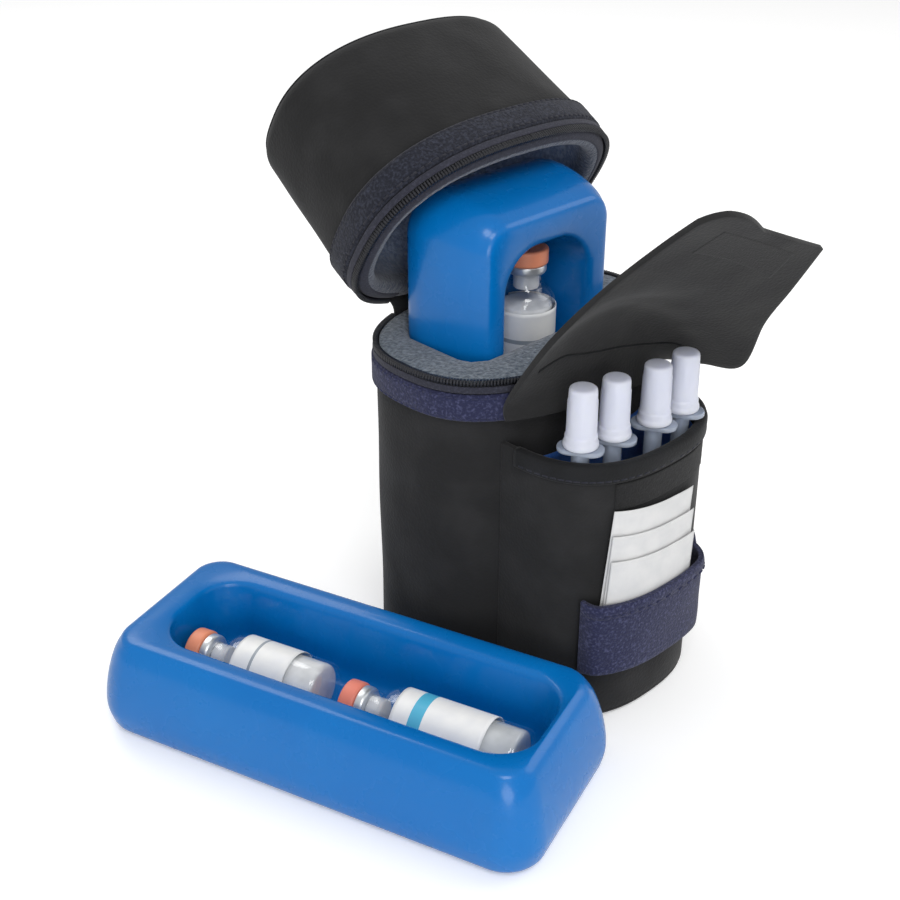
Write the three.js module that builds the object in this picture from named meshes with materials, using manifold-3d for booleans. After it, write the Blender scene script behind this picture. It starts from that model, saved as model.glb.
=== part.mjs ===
// A soft insulated case for insulin, standing open with its two cold packs.
// Millimetres, +Z up. The origin is the middle of the case's base on the floor.
// The zip lid swings back on a cloth hinge at +Y; the syringe pocket and its flap are at -Y.
import * as THREE from 'three';
import { mergeVertices } from 'three/addons/utils/BufferGeometryUtils.js';
import Module from 'manifold-3d';

const wasm = await Module();
wasm.setup();

// Driving dimensions of the case
const CASE_WIDTH = 113;
const CASE_DEPTH = 76;
const CASE_SQUARENESS = 2.5;
const BODY_HEIGHT = 128;
const LID_HEIGHT = 66;
const LID_OPEN_ANGLE = 57.5;
const GAP = 0.3;

// Cloth, foam and fleece
const CLOTH = 1.8;
const BASE_THICKNESS = 2.4;
const FLEECE = 2.2;
const CORE_FLOOR = 1.6;
const LID_FOAM = 3;
const LID_FLEECE = 2;
const LID_TOP_ROUND = 7;
const LID_TAPER = 2.5;
const TOP_PANEL_CROWN = 4;
const ON_CLOTH = 0.2;
const PACK_CLEARANCE = 1.2;
const CAVITY_CORNER = 8;

// Zip, navy bands and the cloth hinge
const TEETH_HEIGHT = 1.9;
const TEETH_OUT = 1.9;
const ZIP_HALF_GAP = 0.25;
const TAPE_HEIGHT = 2.4;
const TAPE_THICKNESS = 1;
const BAND_HEIGHT = 10.5;
const BAND_THICKNESS = 1.5;
const HINGE_WIDTH = 60;
const HINGE_THICKNESS = 1.1;
const HINGE_OUT = 0.9;
const HINGE_LEG = 11;
const SLIDER_ANGLE = 48;
const SLIDER_SIZE = { width: 7, thickness: 3.2, height: 9 };
const TAB_SIZE = { width: 5, thickness: 1.3, height: 19 };

// Syringe pocket, its hem and its closing strip
const POCKET_CENTRE = -2;
const POCKET_HALF_WIDTH = 39;
const POCKET_REACH = 36;
const POCKET_BELOW_RIM = 23.5;
const POCKET_CLOTH = 2;
const HEM_HEIGHT = 6.5;
const HEM_THICKNESS = 0.8;
const STRIP_HEIGHT = 10;
const STRIP_WIDTH = 46;
const STRIP_THICKNESS = 0.8;
const STRIP_BELOW_HEM = 0.6;

// Swab pocket and the packets in it
const SWAB_POCKET_TOP = 53;
const SWAB_POCKET_BOTTOM = 22;
const SWAB_POCKET_GUSSET = 1.6;
const SWAB_POCKET_FROM = -33;
const SWAB_POCKET_TO = 36;
const SWAB_CLOTH = 1.6;
const SWAB_LEFT_RISE = 11;
const SWAB_RIGHT_RISE = 5;
const SWAB_HUG_FROM = 0.78;
const SWAB_HEM_HEIGHT = 5;
const PACKET_COUNT = 3;
const PACKET_WIDTH = 36;
const PACKET_CENTRE = -9;
const PACKET_HEIGHT = 42;
const PACKET_STEP = 9;
const PACKET_THICKNESS = 0.8;
const PACKET_PITCH = 1.1;
const PACKET_FOOT = 2.5;

// Pocket flap, standing open: its seam's heights below the rim, then free rows out to its edge.
// A row has a left, a middle and a right point: x, reach in front of the case, height over the syringes.
const FLAP_CLOTH = 2;
const FLAP_SEAM_ENDS = [-42, 40];
const FLAP_SEAM_OUT = 3.7;
const FLAP_WALL_END = 0.25;
const FLAP_WALL_LEFT = 0.45;
const FLAP_SEAM_BELOW_RIM = [[14, 16, 22], [8, 2, 17]];
const FLAP_FREE_ROWS = [
  [[-41.5, 7, 8.8], [-1, 12, 15.4], [43, 12, -17.1]],
  [[-39.3, 17, 23.1], [0, 23, 23.4], [45, 27, -13.6]],
  [[-31.4, 27, 37.4], [3, 35, 30.4], [40, 37, 7.4]],
  [[-26, 42, 53.4], [6, 46, 42.4], [38, 47, 23.4]],
  [[-25, 57, 66.9], [6, 57, 53.4], [36.9, 57, 40.6]],
];
const FLAP_SPLIT = 4 / 6;
const FLAP_CORNER = 0.12;

// Cold pack: a blue moulded box with a long well for two vials
const PACK_LENGTH = 171;
const PACK_WIDTH = 74;
const PACK_THICKNESS = 37;
const PACK_CORNER = 14;
const PACK_FOOT_INSET = 6;
const PACK_CREST_INSET = 8.5;
const PACK_BACK_OFFSET = 24;
const PACK_LOOSE_PLACE = [-98.2, -15.2];
const PACK_LOOSE_YAW = -71.3;
const WELL_LENGTH = 139;
const WELL_WIDTH = 38.5;
const WELL_ALONG = 3.5;
const WELL_CORNER = 13;
const WELL_FLOOR = 10;
const WELL_DRAFT = 4;
const WELL_ROUND = 9;

// Vials
const VIAL_RADIUS = 10.8;
const VIAL_LENGTHS_UPRIGHT = [64.6, 64.6];
const VIAL_LENGTHS_LOOSE = [67, 55.5];
const VIAL_CAP_RADIUS = 7.8;
const VIAL_CAP_HEIGHT = 5.6;
const VIAL_CRIMP_HEIGHT = 3.4;
const VIAL_NECK_RADIUS = 6.2;
const VIAL_NECK_HEIGHT = 4;
const VIAL_SHOULDER = 7;
const LABEL_THICKNESS = 0.35;
const LABEL_START = 12;
const VIAL_STAGGER = 8.5;
const VIAL_ACROSS = 4.5;

// Insulin syringes standing on the pocket's floor
// Each place is a share of the pocket's half width and of its reach
const SYRINGE_PLACES = [[-0.713, 0.55], [-0.372, 0.625], [0.082, 0.708], [0.449, 0.722]];
const FLANGE_ABOVE_MOUTH = 2.5;
const SYRINGE_BARREL_RADIUS = 3.1;
const SHIELD_LENGTH = 42;
const SHIELD_TIP_RADIUS = 2;
const SHIELD_TIP_LENGTH = 14;
const SHIELD_STEP = 3;
const FLANGE_LENGTH = 16;
const FLANGE_WIDTH = 8.8;
const FLANGE_THICKNESS = 1.8;
const FLANGE_TURN = -60;
const PLUNGER_CAP_HEIGHT = 21.5;
const PLUNGER_CAP_RADIUS = 6;

// Facets
const RING_POINTS = 44;
const TURNED_STEPS = 14;
const BAND_STEPS = 36;
const POCKET_STEPS = 22;

// What follows from the sizes above
const HALF_WIDTH = CASE_WIDTH / 2;
const HALF_DEPTH = CASE_DEPTH / 2;
const ZIP_PLANE = BODY_HEIGHT + ZIP_HALF_GAP;
const BODY_CLOTH_TOP = ZIP_PLANE - ZIP_HALF_GAP - TEETH_HEIGHT - GAP;
const HINGE_LINE = { y: HALF_DEPTH + HINGE_OUT, z: ZIP_PLANE };
const CORE_TOP = BODY_CLOTH_TOP - FLEECE - GAP;
const CAVITY_FLOOR = BASE_THICKNESS + GAP + CORE_FLOOR + GAP + FLEECE;
const CAVITY_WIDTH = PACK_WIDTH + 2 * PACK_CLEARANCE;
const CAVITY_DEPTH = PACK_THICKNESS + 2 * PACK_CLEARANCE;
const CAVITY_Y = PACK_BACK_OFFSET - PACK_THICKNESS / 2;
const POCKET_ROOT_Y = -(HALF_DEPTH - 2);
const FLOOR_REST = BASE_THICKNESS + GAP;
const POCKET_MOUTH = BODY_HEIGHT - POCKET_BELOW_RIM;
const SYRINGE_FLANGE_LOW = POCKET_MOUTH + FLANGE_ABOVE_MOUTH;
const SYRINGE_FLANGE_TOP = SYRINGE_FLANGE_LOW + FLANGE_THICKNESS;
const SYRINGE_TOP = SYRINGE_FLANGE_TOP + GAP + PLUNGER_CAP_HEIGHT;

const FINISH = {
  blackCloth: { color: 0x2b2b2d, roughness: 0.92, metalness: 0 },
  blackHem: { color: 0x222225, roughness: 0.85, metalness: 0 },
  navyCloth: { color: 0x3b4160, roughness: 0.95, metalness: 0 },
  greyFleece: { color: 0x76808f, roughness: 1, metalness: 0 },
  foam: { color: 0x4c4f55, roughness: 1, metalness: 0 },
  zipTape: { color: 0x1d1e24, roughness: 0.9, metalness: 0 },
  zipTeeth: { color: 0x17181c, roughness: 0.5, metalness: 0 },
  zipMetal: { color: 0x8a8c90, roughness: 0.35, metalness: 0.9 },
  hookLoop: { color: 0x202022, roughness: 1, metalness: 0 },
  bluePlastic: { color: 0x0f62bd, roughness: 0.3, metalness: 0 },
  glass: { color: 0xdbe7ee, roughness: 0.08, metalness: 0 },
  paper: { color: 0xf1f1ef, roughness: 0.7, metalness: 0 },
  orangeCap: { color: 0xc8704f, roughness: 0.45, metalness: 0 },
  crimp: { color: 0xd8d9da, roughness: 0.35, metalness: 0.6 },
  milkyPlastic: { color: 0xdfe2ea, roughness: 0.4, metalness: 0 },
  clearPlastic: { color: 0xc4d3e4, roughness: 0.2, metalness: 0 },
};

// Small helpers

const radians = THREE.MathUtils.degToRad;
const vec = (x, y, z) => new THREE.Vector3(x, y, z);

function signedPower(value, power) {
  return Math.sign(value) * Math.abs(value) ** power;
}

// A point of the case's oval plan, pushed out from the cloth by `out`, at an angle from +X
function ovalPoint(angle, out, z) {
  const power = 2 / CASE_SQUARENESS;
  const x = (HALF_WIDTH + out) * signedPower(Math.cos(angle), power);
  const y = (HALF_DEPTH + out) * signedPower(Math.sin(angle), power);
  return vec(x, y, z);
}

function ovalRing(out, z) {
  return Array.from({ length: RING_POINTS }, (_, i) => ovalPoint(((i + 0.5) / RING_POINTS) * 2 * Math.PI, out, z));
}

// The angle where the oval's plan reaches a given x on its back half
function ovalAngleAtX(x) {
  return Math.acos(signedPower(x / HALF_WIDTH, CASE_SQUARENESS / 2));
}

// The front of the cloth at a given x
function frontWallY(x, out = 0) {
  const share = Math.min(1, Math.abs(x) / (HALF_WIDTH + out));
  return -(HALF_DEPTH + out) * (1 - share ** CASE_SQUARENESS) ** (1 / CASE_SQUARENESS);
}

// A rectangle with round corners, in as many points as an oval ring
function slotRing(length, width, corner, z, centre = [0, 0]) {
  const radius = Math.min(corner, length / 2 - 0.5, width / 2 - 0.5);
  const perCorner = RING_POINTS / 4;
  const ring = [];
  for (let quarter = 0; quarter < 4; quarter++) {
    const sideX = quarter === 0 || quarter === 3 ? 1 : -1;
    const sideY = quarter < 2 ? 1 : -1;
    for (let step = 0; step < perCorner; step++) {
      const angle = (quarter + step / (perCorner - 1)) * (Math.PI / 2);
      const x = centre[0] + sideX * (length / 2 - radius) + radius * Math.cos(angle);
      const y = centre[1] + sideY * (width / 2 - radius) + radius * Math.sin(angle);
      ring.push(vec(x, y, z));
    }
  }
  return ring;
}

function fromTriangles(points, index) {
  const geometry = new THREE.BufferGeometry();
  const flat = points.flatMap((p) => [p.x, p.y, p.z]);
  geometry.setAttribute('position', new THREE.Float32BufferAttribute(flat, 3));
  geometry.setIndex(index);
  return facingOut(geometry);
}

// Turns a closed surface round if its faces point inwards
function facingOut(geometry) {
  const position = geometry.attributes.position;
  const index = geometry.index ? Array.from(geometry.index.array) : [...Array(position.count).keys()];
  const corner = (i) => new THREE.Vector3().fromBufferAttribute(position, index[i]);
  let volume = 0;
  for (let i = 0; i < index.length; i += 3) {
    volume += corner(i).dot(corner(i + 1).cross(corner(i + 2)));
  }
  if (volume < 0) {
    for (let i = 0; i < index.length; i += 3) {
      [index[i + 1], index[i + 2]] = [index[i + 2], index[i + 1]];
    }
  }
  geometry.setIndex(index);
  return geometry;
}

// A closed solid through a row of rings; a looped row joins its last ring to its first
function loft(rings, looped = false) {
  const count = rings[0].length;
  const points = rings.flat();
  const index = [];
  const rows = looped ? rings.length : rings.length - 1;
  for (let row = 0; row < rows; row++) {
    const next = (row + 1) % rings.length;
    for (let i = 0; i < count; i++) {
      const j = (i + 1) % count;
      const [a, b, c, d] = [row * count + i, row * count + j, next * count + j, next * count + i];
      index.push(a, b, c, a, c, d);
    }
  }
  if (!looped) {
    const last = (rings.length - 1) * count;
    const centre = (ring) => ring.reduce((sum, p) => sum.add(p), vec(0, 0, 0)).divideScalar(count);
    const low = points.push(centre(rings[0])) - 1;
    const high = points.push(centre(rings[rings.length - 1])) - 1;
    for (let i = 0; i < count; i++) {
      const j = (i + 1) % count;
      index.push(low, j, i, high, last + i, last + j);
    }
  }
  return fromTriangles(points, index);
}

// A closed solid between two grids of points that face each other
function slab(face, back) {
  const rows = face.length;
  const columns = face[0].length;
  const points = [...face.flat(), ...back.flat()];
  const at = (r, c) => r * columns + c;
  const under = (r, c) => rows * columns + at(r, c);
  const index = [];
  const quad = (a, b, c, d) => index.push(a, b, c, a, c, d);
  for (let r = 0; r + 1 < rows; r++) {
    for (let c = 0; c + 1 < columns; c++) {
      quad(at(r, c), at(r + 1, c), at(r + 1, c + 1), at(r, c + 1));
      quad(under(r, c), under(r, c + 1), under(r + 1, c + 1), under(r + 1, c));
    }
    quad(at(r + 1, 0), at(r, 0), under(r, 0), under(r + 1, 0));
    quad(at(r, columns - 1), at(r + 1, columns - 1), under(r + 1, columns - 1), under(r, columns - 1));
  }
  for (let c = 0; c + 1 < columns; c++) {
    quad(at(0, c), at(0, c + 1), under(0, c + 1), under(0, c));
    quad(at(rows - 1, c + 1), at(rows - 1, c), under(rows - 1, c), under(rows - 1, c + 1));
  }
  return fromTriangles(points, index);
}

// A round piece turned about Z from [radius, height] pairs, starting and ending on the axis
function turned(profile, steps = TURNED_STEPS) {
  const outline = profile.map(([radius, height]) => new THREE.Vector2(radius, height));
  const geometry = new THREE.LatheGeometry(outline, steps);
  geometry.rotateX(Math.PI / 2);
  return facingOut(geometry);
}

function toSolid(geometry) {
  const bare = geometry.clone();
  bare.deleteAttribute('normal');
  bare.deleteAttribute('uv');
  const merged = mergeVertices(bare, 1e-3);
  const kept = [];
  const index = merged.index.array;
  for (let i = 0; i < index.length; i += 3) {
    const [a, b, c] = [index[i], index[i + 1], index[i + 2]];
    if (a !== b && b !== c && c !== a) kept.push(a, b, c);
  }
  const vertProperties = new Float32Array(merged.attributes.position.array);
  return new wasm.Manifold(new wasm.Mesh({ numProp: 3, vertProperties, triVerts: new Uint32Array(kept) }));
}

function fromSolid(solid) {
  const mesh = solid.getMesh();
  const geometry = new THREE.BufferGeometry();
  geometry.setAttribute('position', new THREE.Float32BufferAttribute(mesh.vertProperties, 3));
  geometry.setIndex(Array.from(mesh.triVerts));
  return geometry;
}

const model = new THREE.Group();

function piece(parent, name, geometry, finish) {
  const mesh = new THREE.Mesh(geometry, new THREE.MeshStandardMaterial(finish));
  mesh.name = name;
  parent.add(mesh);
  return mesh;
}

// A strip that follows the oval from one side of the cloth hinge round the front to the other
function ovalStrip(innerOut, outerOut, low, high) {
  const from = Math.PI - ovalAngleAtX(HINGE_WIDTH / 2);
  const to = 2 * Math.PI + ovalAngleAtX(HINGE_WIDTH / 2);
  const outer = [];
  const inner = [];
  for (let step = 0; step <= BAND_STEPS; step++) {
    const angle = from + ((to - from) * step) / BAND_STEPS;
    outer.push([ovalPoint(angle, outerOut, low), ovalPoint(angle, outerOut, high)]);
    inner.push([ovalPoint(angle, innerOut, low), ovalPoint(angle, innerOut, high)]);
  }
  return slab(outer, inner);
}

// Body of the case

function buildBody(parent) {
  piece(parent, 'base_panel', basePanel(), FINISH.blackCloth);
  const sleeve = [ovalRing(0, BASE_THICKNESS), ovalRing(0, BODY_CLOTH_TOP)];
  sleeve.push(ovalRing(-CLOTH, BODY_CLOTH_TOP), ovalRing(-CLOTH, BASE_THICKNESS));
  piece(parent, 'outer_sleeve', loft(sleeve, true), FINISH.blackCloth);

  const linerOut = 2 * FLEECE;
  const coreOut = linerOut + 2 * GAP;
  const cavity = (extra, z) => {
    const corner = CAVITY_CORNER + extra / 2;
    return slotRing(CAVITY_WIDTH + extra, CAVITY_DEPTH + extra, corner, z, [0, CAVITY_Y]);
  };
  const core = loft([
    ovalRing(-CLOTH - GAP, BASE_THICKNESS + GAP),
    ovalRing(-CLOTH - GAP, CORE_TOP),
    cavity(coreOut, CORE_TOP),
    cavity(coreOut, BASE_THICKNESS + GAP + CORE_FLOOR),
  ]);
  piece(parent, 'insulation_core', core, FINISH.foam);

  const liner = loft([
    cavity(linerOut, CAVITY_FLOOR - FLEECE),
    cavity(linerOut, CORE_TOP + GAP),
    ovalRing(-CLOTH - GAP, CORE_TOP + GAP),
    ovalRing(-CLOTH - GAP, BODY_CLOTH_TOP),
    cavity(0, BODY_CLOTH_TOP),
    cavity(0, CAVITY_FLOOR),
  ]);
  piece(parent, 'fleece_liner', liner, FINISH.greyFleece);

  const teethLow = BODY_CLOTH_TOP + GAP;
  const tapeLow = BODY_CLOTH_TOP - TAPE_HEIGHT;
  const bandTop = tapeLow - GAP;
  piece(parent, 'body_zip_teeth', ovalStrip(-CLOTH, TEETH_OUT, teethLow, BODY_HEIGHT), FINISH.zipTeeth);
  const tape = ovalStrip(ON_CLOTH, ON_CLOTH + TAPE_THICKNESS, tapeLow, BODY_CLOTH_TOP);
  piece(parent, 'body_zip_tape', tape, FINISH.zipTape);
  const band = ovalStrip(ON_CLOTH, ON_CLOTH + BAND_THICKNESS, bandTop - BAND_HEIGHT, bandTop);
  piece(parent, 'rim_band', band, FINISH.navyCloth);
}

// The pocket's plan, from its left seam round the front to its right seam; share runs from 0 to 1
function pocketPoint(share, out, z) {
  const reach = POCKET_REACH + out;
  const half = POCKET_HALF_WIDTH + out;
  const power = 2 / CASE_SQUARENESS;
  const angle = Math.PI * (1 + share);
  const x = POCKET_CENTRE + half * signedPower(Math.cos(angle), power);
  return vec(x, POCKET_ROOT_Y + reach * signedPower(Math.sin(angle), power), z);
}

// The same plan with its straight ends carried back to the case's front wall
function pocketPath(out, z) {
  const path = [];
  for (let step = 0; step <= POCKET_STEPS; step++) {
    path.push(pocketPoint(step / POCKET_STEPS, out, z));
  }
  const wall = (x) => frontWallY(x) - 2 * GAP;
  const left = path[0].x;
  const right = path[path.length - 1].x;
  return [vec(left, wall(left), z), ...path, vec(right, wall(right), z)];
}

function basePanel() {
  const shape = new THREE.Shape();
  const front = pocketPath(0, 0);
  const start = front[front.length - 1];
  const from = -ovalAngleAtX(start.x);
  const to = Math.PI * 2 - ovalAngleAtX(front[0].x);
  shape.moveTo(start.x, start.y);
  for (let step = 1; step < RING_POINTS; step++) {
    const p = ovalPoint(from + ((to - from) * step) / RING_POINTS, 0, 0);
    shape.lineTo(p.x, p.y);
  }
  front.slice(0, -1).forEach((p) => shape.lineTo(p.x, p.y));
  const depth = BASE_THICKNESS;
  return facingOut(new THREE.ExtrudeGeometry(shape, { depth, bevelEnabled: false }));
}

// A curved strip on the pocket's plan between two shares, `out` from the cloth, `thick` thick
function pocketStrip(fromShare, toShare, out, thick, low, high, steps = POCKET_STEPS) {
  const outer = [];
  const inner = [];
  for (let step = 0; step <= steps; step++) {
    const share = fromShare + ((toShare - fromShare) * step) / steps;
    outer.push([pocketPoint(share, out + thick, low), pocketPoint(share, out + thick, high)]);
    inner.push([pocketPoint(share, out, low), pocketPoint(share, out, high)]);
  }
  return slab(outer, inner);
}

// The share of the pocket's plan where its front passes a given x
function pocketShareAtX(x) {
  const cosine = (x - POCKET_CENTRE) / POCKET_HALF_WIDTH;
  return 1 - Math.acos(signedPower(cosine, CASE_SQUARENESS / 2)) / Math.PI;
}

const STRIP_OUT = 0.2;
const PACKET_OUT = STRIP_OUT + Math.max(STRIP_THICKNESS, HEM_THICKNESS) + GAP;
const SWAB_OUT = PACKET_OUT + PACKET_PITCH * (PACKET_COUNT - 1) + PACKET_THICKNESS + GAP;

function buildPocket(parent) {
  const wall = (out) => {
    const low = pocketPath(out, BASE_THICKNESS);
    const high = pocketPath(out, POCKET_MOUTH);
    return low.map((p, i) => [p, high[i]]);
  };
  piece(parent, 'pocket_panel', slab(wall(0), wall(-POCKET_CLOTH)), FINISH.blackCloth);
  const hemLow = POCKET_MOUTH - HEM_HEIGHT;
  const hem = pocketStrip(0.02, 0.98, STRIP_OUT, HEM_THICKNESS, hemLow, POCKET_MOUTH);
  piece(parent, 'pocket_hem', hem, FINISH.blackHem);
  const stripFrom = pocketShareAtX(POCKET_CENTRE - STRIP_WIDTH / 2);
  const stripTo = pocketShareAtX(POCKET_CENTRE + STRIP_WIDTH / 2);
  const stripTop = hemLow - STRIP_BELOW_HEM;
  const loops = pocketStrip(stripFrom, stripTo, STRIP_OUT, STRIP_THICKNESS, stripTop - STRIP_HEIGHT, stripTop, 12);
  piece(parent, 'pocket_loop_strip', loops, FINISH.hookLoop);
  piece(parent, 'swab_pocket', swabPocket(0, SWAB_CLOTH), FINISH.navyCloth);
  const hemOut = SWAB_CLOTH + STRIP_OUT;
  const swabHem = swabPocket(hemOut, HEM_THICKNESS, SWAB_POCKET_TOP - SWAB_HEM_HEIGHT);
  piece(parent, 'swab_pocket_hem', swabHem, FINISH.navyCloth);
}

// A cloth pouch: close to the panel at its foot and sides, standing off where the packets go in
function swabPocket(extra, thick, lowest = SWAB_POCKET_BOTTOM) {
  const gusset = SWAB_POCKET_BOTTOM + SWAB_POCKET_GUSSET;
  const foot = Math.max(lowest, gusset);
  const heights = lowest < gusset ? [lowest] : [];
  heights.push(foot, (foot + SWAB_POCKET_TOP) / 2, SWAB_POCKET_TOP);
  const from = pocketShareAtX(SWAB_POCKET_FROM);
  const to = pocketShareAtX(SWAB_POCKET_TO);
  const outer = [];
  const inner = [];
  for (let step = 0; step <= POCKET_STEPS; step++) {
    const across = step / POCKET_STEPS;
    const share = from + (to - from) * across;
    const hug = Math.max(0, SWAB_HUG_FROM - across);
    const side = Math.min(1, SWAB_LEFT_RISE * across, SWAB_RIGHT_RISE * hug);
    const rows = heights.map((z) => {
      const open = z < gusset ? 0 : Math.sin((side * Math.PI) / 2);
      return [STRIP_OUT + (SWAB_OUT - STRIP_OUT) * open + extra, z];
    });
    outer.push(rows.map(([out, z]) => pocketPoint(share, out + thick, z)));
    inner.push(rows.map(([out, z]) => pocketPoint(share, out, z)));
  }
  return slab(outer, inner);
}

function buildPackets(parent) {
  const from = pocketShareAtX(PACKET_CENTRE - PACKET_WIDTH / 2);
  const to = pocketShareAtX(PACKET_CENTRE + PACKET_WIDTH / 2);
  for (let i = 0; i < PACKET_COUNT; i++) {
    const low = SWAB_POCKET_BOTTOM + PACKET_FOOT + (PACKET_COUNT - 1 - i) * PACKET_STEP;
    const top = low + PACKET_HEIGHT;
    const out = PACKET_OUT + i * PACKET_PITCH;
    const packet = pocketStrip(from, to, out, PACKET_THICKNESS, low, top, 8);
    piece(parent, `swab_packet_${i + 1}`, packet, FINISH.paper);
  }
}

// Pocket flap

const FLAP_EDGES = [0, 1, 2].map((column) => {
  const ends = [FLAP_SEAM_ENDS[0], (FLAP_SEAM_ENDS[0] + FLAP_SEAM_ENDS[1]) / 2, FLAP_SEAM_ENDS[1]];
  const x = ends[column];
  const seamY = frontWallY(x) - FLAP_SEAM_OUT;
  const seam = FLAP_SEAM_BELOW_RIM.map((drops) => vec(x, seamY, BODY_HEIGHT - drops[column]));
  const free = FLAP_FREE_ROWS.map((row) => {
    const [side, reach, height] = row[column];
    return vec(side, -HALF_DEPTH - reach, SYRINGE_TOP + height);
  });
  return new THREE.CatmullRomCurve3([...seam, ...free]);
});

// The height of a parabola through three values at 0, a half and 1
function parabola(first, middle, last, share) {
  const rise = 4 * middle - 3 * first - last;
  const bend = 2 * (first + last - 2 * middle);
  return first + rise * share + bend * share ** 2;
}

// A point of the open flap: `along` runs from seam to free edge, `across` from left to right
function flapPoint(along, across) {
  const [left, middle, right] = FLAP_EDGES.map((edge) => edge.getPoint(along));
  const x = parabola(left.x, middle.x, right.x, across);
  const y = parabola(left.y, middle.y, right.y, across);
  const z = parabola(left.z, middle.z, right.z, across);
  const wall = parabola(frontWallY(left.x), frontWallY(middle.x), frontWallY(right.x), across);
  const onWall = THREE.MathUtils.clamp((FLAP_WALL_LEFT - along) / (FLAP_WALL_LEFT - FLAP_WALL_END), 0, 1);
  return vec(x, y + (frontWallY(x) - wall) * onWall, z);
}

function flapNormal(along, across) {
  const step = 0.01;
  const a = flapPoint(Math.min(1, along + step), across).sub(flapPoint(Math.max(0, along - step), across));
  const b = flapPoint(along, Math.min(1, across + step)).sub(flapPoint(along, Math.max(0, across - step)));
  return a.cross(b).normalize();
}

// Part of the flap's cloth, `out` from its middle surface and `thick` thick
function flapSheet(fromAlong, toAlong, fromAcross, toAcross, out, thick, rows, columns) {
  const layer = (offset) => {
    const grid = [];
    for (let r = 0; r <= rows; r++) {
      const line = [];
      for (let c = 0; c <= columns; c++) {
        const across = fromAcross + ((toAcross - fromAcross) * c) / columns;
        const nearCorner = Math.max(0, 1 - Math.min(across, 1 - across) / FLAP_CORNER);
        const end = toAlong === 1 ? 1 - 0.09 * nearCorner ** 2 : toAlong;
        const along = fromAlong + ((end - fromAlong) * r) / rows;
        line.push(flapPoint(along, across).addScaledVector(flapNormal(along, across), offset));
      }
      grid.push(line);
    }
    return grid;
  };
  return slab(layer(out + thick / 2), layer(out - thick / 2));
}

function buildFlap(parent) {
  const split = 0.004;
  const seam = flapSheet(0, FLAP_SPLIT - split, 0, 1, 0, FLAP_CLOTH, 9, 12);
  piece(parent, 'flap_root', seam, FINISH.blackCloth);
  const panel = flapSheet(FLAP_SPLIT + split, 1, 0, 1, 0, FLAP_CLOTH, 6, 12);
  piece(parent, 'flap_panel', panel, FINISH.blackCloth);
  const hookOut = FLAP_CLOTH / 2 + GAP + STRIP_THICKNESS / 2;
  const hooks = flapSheet(0.82, 0.94, 0.2, 0.8, -hookOut, STRIP_THICKNESS, 2, 8);
  piece(parent, 'flap_hook_strip', hooks, FINISH.hookLoop);
}

// Lid, drawn closed about its hinge line and then swung open

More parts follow.
